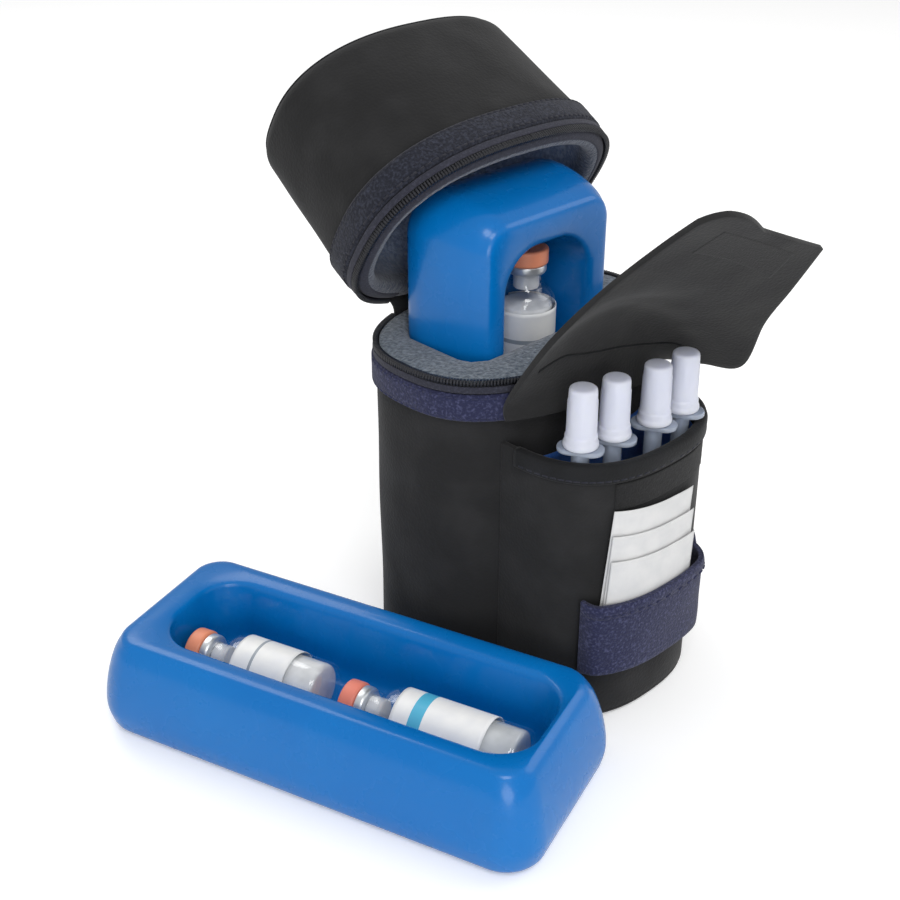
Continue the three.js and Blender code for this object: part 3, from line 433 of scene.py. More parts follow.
# Coated paper: clean white with one plain stripe, grey or blue.
LABEL_PLAIN = Printed("coated_label_paper", "#f3f3f1", 0.45, band="#9ba3ab", band_from=0.62, band_to=0.67)
LABEL_BAND = Printed("coated_label_paper_with_band", "#f4f4f3", 0.45, band="#4fb4d6", band_from=0.66,
                     band_to=0.8)
# Pressed aluminium: a bright, slightly satin ring.
CRIMP = Metal("pressed_aluminium", "#dfe2e5", 0.34)
# Injection-moulded polypropylene: warm orange, with a redder batch beside it.
CAP_ORANGE = Moulded("terracotta_polypropylene", "#f5966f", 0.42, other="#f8a282")
CAP_RED = Moulded("brick_polypropylene", "#ee8570", 0.42, other="#f2917c")
# Unfilled polypropylene: milky white that light sinks into.
MILKY = Moulded("milky_polypropylene", "#d9dce9", 0.36, other="#cdd2e3", milk=0.4, clear=0.15)
# Clear polystyrene: a glassy tube with a cool tint.
BARREL = Moulded("clear_polystyrene", "#d9e4f6", 0.14, other="#cbdaf2", clear=0.65, ior=1.58)
# Coated sachet paper: flat off-white, a little greyer in random patches.
SACHET = Printed("coated_sachet_paper", "#d2d2d2", 0.55, worn="#c8c9ca")


# Mesh helpers


def smooth_step(share: float) -> float:
    """Returns an eased value between nought and one."""
    held = min(1.0, max(0.0, share))
    return held * held * (3 - 2 * held)


def ripple(x: float, y: float, z: float) -> float:
    """Returns a smooth unevenness between about -1 and 1 at a spot."""
    return noise.noise(Vector((x, y, z)))


def make_object(name: str, bm: bmesh.types.BMesh) -> Piece:
    """Writes a bmesh into a new smooth-shaded object.

    Args:
        name: the object's name.
        bm: the mesh, in metres, freed afterwards.

    Returns:
        The linked object.
    """
    mesh = bpy.data.meshes.new(name)
    bm.to_mesh(mesh)
    bm.free()
    mesh.polygons.foreach_set("use_smooth", [True] * len(mesh.polygons))
    made = bpy.data.objects.new(name, mesh)
    bpy.context.scene.collection.objects.link(made)
    return made


def shaped_grid(name: str, columns: int, rows: int, place: Place) -> Piece:
    """Makes a sheet by moving the points of a flat grid.

    Args:
        name: the object's name.
        columns: faces across.
        rows: faces along.
        place: gives the point in millimetres for shares across and along.

    Returns:
        The sheet, with a map of those shares, merged where it meets itself.
    """
    bm = bmesh.new()
    layer = bm.loops.layers.uv.new("surface")
    bmesh.ops.create_grid(bm, x_segments=columns, y_segments=rows, size=1.0)
    for face in bm.faces:
        for loop in face.loops:
            loop[layer].uv = ((loop.vert.co.x + 1) / 2, (loop.vert.co.y + 1) / 2)
    for vert in bm.verts:
        vert.co = place((vert.co.x + 1) / 2, (vert.co.y + 1) / 2) * MM
    bmesh.ops.remove_doubles(bm, verts=bm.verts, dist=1e-6)
    bmesh.ops.recalc_face_normals(bm, faces=bm.faces)
    return make_object(name, bm)


def turned(name: str, profile: Profile, steps: int, where: Matrix) -> Piece:
    """Spins a profile into a round piece.

    Args:
        name: the object's name.
        profile: radius and height pairs in millimetres.
        steps: faces round the piece.
        where: puts the piece's Z axis in place, in millimetres.

    Returns:
        The closed round piece.
    """
    bm = bmesh.new()
    verts = [bm.verts.new((radius, 0, height)) for radius, height in profile]
    edges = [bm.edges.new(pair) for pair in zip(verts, verts[1:])]
    bmesh.ops.spin(bm, geom=verts + edges, cent=(0, 0, 0), axis=(0, 0, 1), angle=TURN, steps=steps,
                   use_merge=True)
    bmesh.ops.remove_doubles(bm, verts=bm.verts, dist=1e-4)
    bmesh.ops.recalc_face_normals(bm, faces=bm.faces)
    bmesh.ops.transform(bm, matrix=Matrix.Scale(MM, 4) @ where, verts=bm.verts)
    return make_object(name, bm)


def rounded(profile: Profile, radius: float, steps: int = 3) -> list[Pair]:
    """Rounds the inner corners of a profile.

    Args:
        profile: the corner points.
        radius: how far from a corner its rounding starts, at most.
        steps: points on each rounding.

    Returns:
        The rounded profile.
    """
    points = [Vector(p) for p in profile]
    made = [points[0]]
    for before, corner, after in zip(points, points[1:], points[2:]):
        reach = min(radius, (before - corner).length / 2.2, (after - corner).length / 2.2)
        start = corner + (before - corner).normalized() * reach
        end = corner + (after - corner).normalized() * reach
        for step in range(steps + 1):
            t = step / steps
            made.append(start * (1 - t) ** 2 + corner * 2 * t * (1 - t) + end * t * t)
    made.append(points[-1])
    return [(p.x, p.y) for p in made]


def put(piece: Piece, finish: Finish, body: Body | str | None, nodes: Iterable[str] = ()) -> None:
    """Dresses a piece and ties it to the frame.

    Args:
        piece: the new piece.
        finish: its finish.
        body: the body it rides on, or None where it rides on none.
        nodes: the CAD nodes it replaces.
    """
    piece.data.materials.append(finish.material())
    name = body.value if isinstance(body, Body) else body
    if name:
        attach(piece, name)
    replaced = list(nodes)
    if replaced:
        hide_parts(*replaced)
    LOG.info("piece %s on %s", piece.name, name)


@dataclass(frozen=True)
class Wall:
    """A sheet's thickness in millimetres: which side it grows to and how round its cut edges are."""

    thickness: float
    offset: float = -1.0
    edge: float = 0.4
    edge_angle: float = 50.0

    def give(self, piece: Piece) -> None:
        """Adds the thickness and the soft edges to a sheet."""
        wall = piece.modifiers.new("thickness", "SOLIDIFY")
        wall.thickness = self.thickness * MM
        wall.offset = self.offset
        if not self.edge:
            return
        soft = piece.modifiers.new("soft_edges", "BEVEL")
        soft.width = self.edge * MM
        soft.segments = 2
        soft.limit_method = "ANGLE"
        soft.angle_limit = math.radians(self.edge_angle)


@dataclass(frozen=True)
class Cloth:
    """A soft piece on a shaped grid: finish, slot and wall, and its strip's length where it is a sheet."""

    finish: Finish
    slot: Slot
    wall: Wall
    length: float = 0.0
    held: str = "stretched"

    def make(self, name: str, columns: int, rows: int, place: Place, body: Body | str | None,
             nodes: Iterable[str] = ()) -> Piece:
        """Args:
            name: the object's name.
            columns: faces across.
            rows: faces along.
            place: gives the point in millimetres for shares across and along.
            body: the body it rides on, or None where it rides on none.
            nodes: the CAD nodes it replaces.

        Returns:
            The piece; as a sheet it is declared with the width that its own area gives.
        """
        piece = shaped_grid(name, columns, rows, place)
        self.wall.give(piece)
        put(piece, self.finish, body, nodes)
        return piece


STITCH_PITCH = 3.2
STITCH_SIZE = (0.7 * STITCH_PITCH, 0.6, 0.5)
STITCH_SINK = 0.25


def stitches(name: str, path: Path, normal: Path, length: float, body: Body, thread: Finish = THREAD) -> None:
    """Sews a row of thread stitches along a path, as one piece.

    Args:
        name: the object's name.
        path: the point in millimetres at a share of the row.
        normal: the outward direction there.
        length: the row's length in millimetres.
        body: the body it rides on.
        thread: the thread's finish.
    """
    bm = bmesh.new()
    count = round(length / STITCH_PITCH)
    reach = 0.3 / count
    for i in range(count):
        share = (i + 0.5) / count
        along = (path(share + reach) - path(share - reach)).normalized()
        side = normal(share).normalized().cross(along).normalized()
        out = along.cross(side)
        place = Matrix((along, side, out)).transposed().to_4x4()
        place.translation = path(share) - out * STITCH_SINK
        size = Matrix.Diagonal((*STITCH_SIZE, 1.0))
        bmesh.ops.create_cube(bm, size=1.0, matrix=Matrix.Scale(MM, 4) @ place @ size)
    put(make_object(name, bm), thread, body)


def dress_node(name: str, finish: Finish) -> None:
    """Gives a CAD node that stays a better material."""
    node = bpy.data.objects[name]
    node.data.materials.clear()
    node.data.materials.append(finish.material())


# Plans that several pieces follow


def signed_power(value: float, power: float) -> float:
    """Returns the power of a value's size with its sign kept."""
    return math.copysign(abs(value) ** power, value)


def outward(before: Vector, after: Vector) -> Vector:
    """Returns the level direction to the right of the step from one point to the next."""
    step = after - before
    return Vector((step.y, -step.x, 0)).normalized()


@dataclass(frozen=True)
class CasePlan:
    """The oval plan of the case, with its rim and hinge heights, in millimetres."""

    half_width: float = 56.5
    half_depth: float = 38.0
    power: float = 2.5
    rim: float = 128.0
    cloth_top: float = 125.8
    hinge_half: float = 30.0
    hinge_y: float = 38.9
    hinge_z: float = 128.25
    lid_angle: float = 57.5
    nudge: float = 0.01

    def at(self, angle: float, out: float, z: float) -> Vector:
        """Returns the point of the oval at an angle from +X, pushed out by out."""
        x = (self.half_width + out) * signed_power(math.cos(angle), 2 / self.power)
        y = (self.half_depth + out) * signed_power(math.sin(angle), 2 / self.power)
        return Vector((x, y, z))

    def normal(self, angle: float) -> Vector:
        """Returns the outward direction of the oval at an angle."""
        return outward(self.at(angle - self.nudge, 0, 0), self.at(angle + self.nudge, 0, 0))

    def front(self, x: float) -> float:
        """Returns the y of the front wall at x."""
        share = min(1.0, abs(x) / self.half_width)
        return -self.half_depth * (1 - share ** self.power) ** (1 / self.power)

    def strip_angle(self, share: float) -> float:
        """Returns the angle at a share of the way round from the hinge's left end to its right end."""
        edge = math.acos((self.hinge_half / self.half_width) ** (self.power / 2))
        return (math.pi - edge) + share * (math.pi + 2 * edge)

    def swing(self, x: float, y: float, z: float, angle: float) -> Vector:
        """Returns a point that lies at y and z from the hinge, swung back about it."""
        return Vector((x, self.hinge_y + y * math.cos(angle) + z * math.sin(angle),
                       self.hinge_z - y * math.sin(angle) + z * math.cos(angle)))

    def open_lid(self, p: Vector) -> Vector:
        """Swings a point of the shut lid, with z from the zip plane, to the open lid."""
        return self.swing(p.x, p.y - self.hinge_y, p.z, math.radians(self.lid_angle))


CASE = CasePlan()


@dataclass(frozen=True)
class PocketPlan:
    """The rounded plan of the syringe pocket, in millimetres."""

    centre: float = -2.0
    half_width: float = 39.0
    reach: float = 36.0
    root_y: float = -36.0
    power: float = 2.5
    straight: float = 0.07
    seam_gap: float = 0.3
    nudge: float = 0.004

    def at(self, share: float, out: float, z: float) -> Vector:
        """Returns the point at a share of the way round from the left seam to the right seam."""
        angle = math.pi * (1 + share)
        x = self.centre + (self.half_width + out) * signed_power(math.cos(angle), 2 / self.power)
        y = self.root_y + (self.reach + out) * signed_power(math.sin(angle), 2 / self.power)
        return Vector((x, y, z))

    def normal(self, share: float) -> Vector:
        """Returns the outward direction at a share of the way round."""
        return outward(self.at(share - self.nudge, 0, 0), self.at(share + self.nudge, 0, 0))

    def share_at(self, x: float) -> float:
        """Returns the share where the front passes x."""
        cosine = (x - self.centre) / self.half_width
        return 1 - math.acos(signed_power(cosine, self.power / 2)) / math.pi

    def path(self, share: float, out: float, z: float) -> Vector:
        """Returns a point of the whole panel, with its straight sides carried back to the case."""
        curved = 1 - 2 * self.straight
        inner = (share - self.straight) / curved
        if 0 <= inner <= 1:
            return self.at(inner, out, z)
        end = self.at(0.0 if inner < 0 else 1.0, out, z)
        back = -inner / self.straight if inner < 0 else (inner - 1) / self.straight
        wall = CASE.front(end.x) - self.seam_gap
        return Vector((end.x, end.y + (wall - end.y) * min(1.0, back * curved), z))


POCKET = PocketPlan()
STRIP_STEPS = 2000


@lru_cache(maxsize=None)
def strip_lengths() -> tuple[float, ...]:
    """Returns the zip strip's length from its start to each of many equal steps of its angle."""
    points = [CASE.at(CASE.strip_angle(step / STRIP_STEPS), 0, 0) for step in range(STRIP_STEPS + 1)]
    lengths = [0.0]
    for here, there in zip(points, points[1:]):
        lengths.append(lengths[-1] + (there - here).length)
    return tuple(lengths)


def even_angle(share: float) -> float:
    """Returns the strip's angle at a share of its length, so that teeth and stitches lie evenly."""
    lengths = strip_lengths()
    return CASE.strip_angle(bisect_left(lengths, share * lengths[-1]) / STRIP_STEPS)


def rounded_slot(length: float, width: float, corner: float, share: float) -> Vector:
    """Returns a point of a rectangle with round corners.

    Args:
        length: along X.
        width: along Y.
        corner: corner radius.
        share: share of the way round, a quarter for each corner.

    Returns:
        The point, with z nought.
    """
    eased = 0.15
    quarter = min(3, int(share * 4))
    turn = share * 4 - quarter
    across = 1 if quarter in (0, 3) else -1
    up = 1 if quarter < 2 else -1
    held = smooth_step(turn) * eased + turn * (1 - eased)
    angle = (quarter + held) * math.pi / 2
    return Vector((across * (length / 2 - corner) + corner * math.cos(angle),
                   up * (width / 2 - corner) + corner * math.sin(angle), 0))


def spot_in(count: int, share: float) -> tuple[int, float]:
    """Returns the row before a share of the way through a number of rows, and how far it is to the next."""
    spot = min(count - 1.0, max(0.0, share * (count - 1)))
    before = min(count - 2, int(spot))
    return before, spot - before


def between(rows: Rows, share: float) -> list[float]:
    """Returns the values at a share of the way through a list of rows, eased between rows by a spline."""
    i, t = spot_in(len(rows), share)
    before, first, last, after = rows[max(0, i - 1)], rows[i], rows[i + 1], rows[min(len(rows) - 1, i + 2)]
    return [0.5 * (2 * b + (c - a) * t + (2 * a - 5 * b + 4 * c - d) * t * t
                   + (3 * b - a - 3 * c + d) * t ** 3)
            for a, b, c, d in zip(before, first, last, after)]


def straight_between(rows: Rows, share: float) -> list[float]:
    """Returns the values at a share of the way through a list of rows, in straight steps."""
    i, t = spot_in(len(rows), share)
    return [a + (b - a) * t for a, b in zip(rows[i], rows[i + 1])]


def part_way(ends: Sequence[float], share: float) -> float:
    """Returns the value at a share of the way from one end to the other."""
    return ends[0] + (ends[1] - ends[0]) * share


# Sub-assemblies


@dataclass
class ZipHalf:
    """One half of the zip on its cloth band: band, woven tape, coil teeth and two rows of stitches."""

    name: str
    body: Body
    band_node: str
    band: Pair
    tape: Pair
    teeth: Pair
    move: Callable[[Vector], Vector]
    finish: Finish
    thread: Finish
    run: float = 285.0
    pitch: float = 1.25
    band_out: float = 0.45
    band_crown: float = 1.2
    fuzz: float = 0.12
    tape_out: float = 1.2
    tooth_out: float = 0.25
    tooth_depth: float = 1.8
    tooth_share: float = 0.6
    stitch_out: float = 1.62
    stitch_in: float = 1.3

    def build(self) -> None:
        """Builds and dresses every piece of this half."""
        def band_place(u: float, v: float) -> Vector:
            crown = 1 - (2 * v - 1) ** 6
            fuzz = self.fuzz * ripple(u * 60, v * 4, 1.3)
            out = self.band_out + self.band_crown * crown + fuzz
            return self.move(CASE.at(CASE.strip_angle(u), out, part_way(self.band, v)))

        def tape_place(u: float, v: float) -> Vector:
            return self.move(CASE.at(CASE.strip_angle(u), self.tape_out, part_way(self.tape, v)))

        band = Cloth(self.finish, Slot.NAVY, Wall(0.8), length=11.6)
        band.make(f"{self.name}_navy_band", 150, 10, band_place, self.body, [self.band_node])
        tape = Cloth(TAPE, Slot.TAPE, Wall(0.8, edge=0.2))
        tape.make(f"{self.name}_woven_tape", 150, 3, tape_place, self.body, [f"{self.name}_zip_tape"])
        self.coil()
        for number, z in enumerate((self.band[0] + self.stitch_in, self.band[1] - self.stitch_in), start=1):
            self.sew(number, z)

    def coil(self) -> None:
        """Builds the row of teeth."""
        bm = bmesh.new()
        count = round(self.run / self.pitch)
        low, high = self.teeth
        size = Matrix.Diagonal((self.tooth_depth, self.pitch * self.tooth_share, high - low, 1))
        for i in range(count):
            angle = even_angle((i + 0.5) / count)
            out = CASE.normal(angle)
            along = Vector((-out.y, out.x, 0))
            frame = Matrix((out, along, Vector((0, 0, 1)))).transposed().to_4x4()
            frame.translation = CASE.at(angle, self.tooth_out, (low + high) / 2)
            made = bmesh.ops.create_cube(bm, size=1.0, matrix=frame @ size)
            for vert in made["verts"]:
                vert.co = self.move(vert.co) * MM
        teeth = make_object(f"{self.name}_coil_teeth", bm)
        put(teeth, TEETH, self.body, [f"{self.name}_zip_teeth"])

    def sew(self, number: int, z: float) -> None:
        """Sews one row of stitches on the band."""
        origin = self.move(Vector((0, 0, 0)))

        def path(share: float) -> Vector:
            return self.move(CASE.at(even_angle(share), self.stitch_out, z))

        def normal(share: float) -> Vector:
            return self.move(CASE.normal(even_angle(share))) - origin

        stitches(f"{self.name}_band_stitches_{number}", path, normal, self.run, self.body, self.thread)


@dataclass
class CaseShell:
    """The body's cloth shell, base, fleece lining, navy band and its half of the zip."""

    cloth: float = 1.8
    foot: float = 2.1
    dent_depth: float = 0.55
    dent_from: float = 8.0
    dent_run: float = 100.0
    dent_turns: float = 2.2
    dent_height: float = 46.0
    oval_share: float = 0.6
    base_middle: float = -14.0
    base_round: float = 2.2
    base_flat: float = 0.75
    cavity: Triple = (76.4, 39.4, 8.0)
    cavity_y: float = 5.5
    cavity_floor: float = 6.8
    rim_in: float = 1.2
    rim_drop: float = 0.15
    rim_crown: float = 0.5
    rim_roll: float = 1.2
    roll_from: float = 0.8
    rim_share: float = 0.4
    wall_drop: float = 1.6
    wall_share: float = 0.85
    fuzz: float = 0.25
    fuzz_scale: float = 0.6
    band: Pair = (112.6, 123.1)
    tape: Pair = (123.4, 125.8)
    teeth: Pair = (126.1, CASE.rim)

    def build(self) -> None:
        """Builds and dresses every piece of the body's shell."""
        self.sleeve()
        self.base_cloth()
        self.lining()
        ZipHalf("body", Body.CASE, "rim_band", self.band, self.tape, self.teeth, lambda p: p,
                NAVY, THREAD_NAVY).build()
        dress_node("insulation_core", FOAM)

    def dent(self, angle: float, z: float) -> float:
        """Returns how far the cloth stands in or out, as foam-backed cloth does over its core."""
        level = math.sin(math.pi * min(1.0, max(0.0, (z - self.dent_from) / self.dent_run)))
        x, y = self.dent_turns * math.cos(angle), self.dent_turns * math.sin(angle)
        return self.dent_depth * level * ripple(x, y, z / self.dent_height)

    def sleeve(self) -> None:
        """Builds the cloth sleeve."""
        def place(u: float, v: float) -> Vector:
            z = part_way((self.foot, CASE.cloth_top), v)
            return CASE.at(u * TURN, self.dent(u * TURN, z), z)

        cloth = Cloth(KNIT, Slot.CLOTH, Wall(self.cloth), length=123.4)
        cloth.make("body_sleeve_cloth", 144, 40, place, Body.CASE, ["outer_sleeve"])

    def outline(self, share: float) -> Vector:
        """Returns a point of the base's outline, round the oval and then round the pocket."""
        if share >= self.oval_share:
            return POCKET.path((share - self.oval_share) / (1 - self.oval_share), 0, 0)
        right, left = (signed_power(POCKET.at(end, 0, 0).x / CASE.half_width, CASE.power / 2)
                       for end in (1.0, 0.0))
        ends = (-math.acos(right), TURN - math.acos(left))
        return CASE.at(part_way(ends, share / self.oval_share), 0, 0)

    def base_cloth(self) -> None:
        """Builds the base with its turned-up edge."""
        middle = Vector((0, self.base_middle, 0))

        def place(u: float, v: float) -> Vector:
            edge = self.outline(u) - middle
            out = edge.normalized() * self.base_round
            turn = max(0.0, (v - self.base_flat) / (1 - self.base_flat)) * math.pi / 2
            p = middle + (edge - out) * min(1.0, v / self.base_flat) + out * math.sin(turn)
            return Vector((p.x, p.y, self.base_round * (1 - math.cos(turn))))

        cloth = Cloth(KNIT, Slot.CLOTH, Wall(0.9), length=110)
        cloth.make("base_cloth", 160, 12, place, Body.CASE, ["base_panel"])

    def lining(self) -> None:
        """Builds the fleece lining: a pillowed ring at the rim, the cavity's walls and its floor."""
        top, roll = CASE.cloth_top, self.roll_from
        hub = Vector((0, self.cavity_y, 0))

        def place(u: float, v: float) -> Vector:
            inner = rounded_slot(*self.cavity, u % 1.0) + hub
            if v < self.rim_share:
                t = v / self.rim_share
                p = CASE.at(u * TURN, -self.rim_in, top).lerp(Vector((inner.x, inner.y, top)), t)
                rolled = self.rim_roll * max(0.0, t - roll) / (1 - roll)
                crown = self.rim_crown * math.sin(math.pi * t) - rolled
                fuzz = self.fuzz * ripple(*(p * self.fuzz_scale))
                return Vector((p.x, p.y, top - self.rim_drop + crown + fuzz))
            if v < self.wall_share:
                t = (v - self.rim_share) / (self.wall_share - self.rim_share)
                return Vector((inner.x, inner.y, part_way((top - self.wall_drop, self.cavity_floor), t)))
            p = inner.lerp(hub, (v - self.wall_share) / (1 - self.wall_share))
            return Vector((p.x, p.y, self.cavity_floor))

        fleece = Cloth(FLEECE, Slot.FLEECE, Wall(1.6, offset=1.0, edge=0))
        fleece.make("fleece_lining", 160, 40, place, Body.CASE, ["fleece_liner"])


@dataclass
class CaseLid:
    """The open lid: cloth shell with a rounded top edge, fleece lining, band and its half of the zip."""

    height: float = 66.0
    cloth: float = 1.8
    low: float = 2.45
    round_edge: float = 7.0
    round_in: float = 0.85
    crown: float = 0.9
    taper: float = 2.5
    slack: float = 0.5
    side_share: float = 0.5
    edge_share: float = 0.72
    welt_share: float = 0.62
    tube_radius: float = 0.45
    lined_share: float = 0.85
    fuzz: float = 0.25
    fuzz_scale: float = 0.5
    band: Pair = (5.15, 15.65)
    tape: Pair = (2.45, 4.85)
    teeth: Pair = (0.25, 2.15)

    def build(self) -> None:
        """Builds and dresses every piece of the lid."""
        self.shell()
        self.lining()
        self.binding()
        ZipHalf("lid", Body.LID, "lid_band", self.band, self.tape, self.teeth, CASE.open_lid,
                SLATE, THREAD).build()
        dress_node("lid_insulation", FOAM)
        self.seam()

    def profile(self, v: float) -> Pair:
        """Returns how far in and how high the shell is, from its rim at nought to the top's middle at one."""
        edge = self.round_edge
        shoulder = self.height - edge
        if v < self.side_share:
            z = part_way((self.low, shoulder), v / self.side_share)
            return self.taper * max(0.0, (z - self.band[1]) / (shoulder - self.band[1])), z
        if v < self.edge_share:
            turn = (v - self.side_share) / (self.edge_share - self.side_share) * math.pi / 2
            inset = self.taper + edge * (1 - math.cos(turn)) * self.round_in
            return inset, shoulder + (edge - self.crown) * math.sin(turn)
        t = (v - self.edge_share) / (1 - self.edge_share)
        level = self.height - self.crown + self.crown * math.sin(t * math.pi / 2)
        return self.taper + self.round_in * edge, level

    def shell(self) -> None:
        """Builds the lid's cloth, sides and top in one."""
        def place(u: float, v: float) -> Vector:
            inset, z = self.profile(v)
            angle = u * TURN
            if v <= self.edge_share:
                slack = self.slack * math.sin(math.pi * v / self.side_share) if v < self.side_share else 0.0
                drift = slack * ripple(2 * math.cos(angle), 2 * math.sin(angle), z / 25 + 7)
                return CASE.open_lid(CASE.at(angle, drift - inset, z))
            rim = CASE.at(angle, -inset, z)
            left = 1 - (v - self.edge_share) / (1 - self.edge_share)
            return CASE.open_lid(Vector((rim.x * left, rim.y * left, z)))

        cloth = Cloth(KNIT_LID, Slot.CLOTH, Wall(self.cloth), length=92)
        cloth.make("lid_shell_cloth", 144, 48, place, Body.LID, ["lid_sleeve", "lid_top_panel"])

    def seam(self) -> None:
        """Builds the sewn welt round the lid's top edge."""
        inset, level = self.profile(self.welt_share)

        def place(u: float, v: float) -> Vector:
            out = self.tube_radius * math.cos(v * TURN) - inset
            return CASE.open_lid(CASE.at(u * TURN, out, level + self.tube_radius * math.sin(v * TURN)))

        put(shaped_grid("lid_top_welt", 144, 8, place), BINDING, Body.LID)

    def lining(self) -> None:
        """Builds the fleece inside the lid: a soft rim, the walls and the ceiling."""
        rows = [(-2.1, 4.6), (-1.9, 2.6), (-1.2, 1.8), (-2.6, 0.9), (-4.6, 0.6), (-7.0, 1.4), (-7.7, 5.0),
                (-7.5, 15.6), (-8.8, 36.0), (-10.0, 53.0), (-12.0, 57.6), (-18.0, 58.2)]

        def place(u: float, v: float) -> Vector:
            angle = u * TURN
            if v < self.lined_share:
                out, z = between(rows, v / self.lined_share)
                fuzz = self.fuzz * ripple(*(CASE.at(angle, out, z) * self.fuzz_scale))
                return CASE.open_lid(CASE.at(angle, out - fuzz, z))
            left = 1 - (v - self.lined_share) / (1 - self.lined_share)
            rim = CASE.at(angle, *rows[-1])
            return CASE.open_lid(Vector((rim.x * left, rim.y * left, rim.z)))

        fleece = Cloth(FLEECE_LID, Slot.FLEECE, Wall(0.8, offset=0.0, edge=0))
        fleece.make("lid_fleece_lining", 144, 48, place, Body.LID, ["lid_liner"])

    def binding(self) -> None:
        """Builds the strip that binds the lining's edge to the zip."""
        rows = [(-0.9, 2.0), (-1.4, 1.0), (-2.6, 0.45), (-4.0, 0.2), (-4.5, 0.7)]

        def place(u: float, v: float) -> Vector:
            return CASE.open_lid(CASE.at(CASE.strip_angle(u), *between(rows, v)))

        strip = Cloth(TAPE, Slot.TAPE, Wall(0.4, offset=0.0, edge=0))
        strip.make("lid_lining_binding", 150, 12, place, Body.LID)


@dataclass
class ClothHinge:
    """The cloth strip at the back that joins the lid to the body."""

    half: float = 29.4
    leg: float = 11.0
    thickness: float = 1.1
    stand: float = 0.8
    blend_half: float = 2.5

    def build(self) -> None:
        """Builds the strip and bends it across the hinge."""
        bend = math.radians(CASE.lid_angle)
        rows = [(0.0, -self.leg), (0.0, -6.0), (0.0, -1.5), (0.5, 0.0), (1.0, 1.5), (1.0, 6.0),
                (1.0, self.leg)]

        def place(u: float, v: float) -> Vector:
            x = part_way((-self.half, self.half), u)
            turn, height = straight_between(rows, v)
            return CASE.swing(x, self.stand - CASE.front(x) - CASE.hinge_y, height, bend * turn)

        cloth = Cloth(KNIT, Slot.CLOTH, Wall(self.thickness, offset=0.0), 2 * self.leg)
        piece = cloth.make("hinge_cloth", 40, 18, place, None, ["lid_hinge_strip"])
        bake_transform(piece)


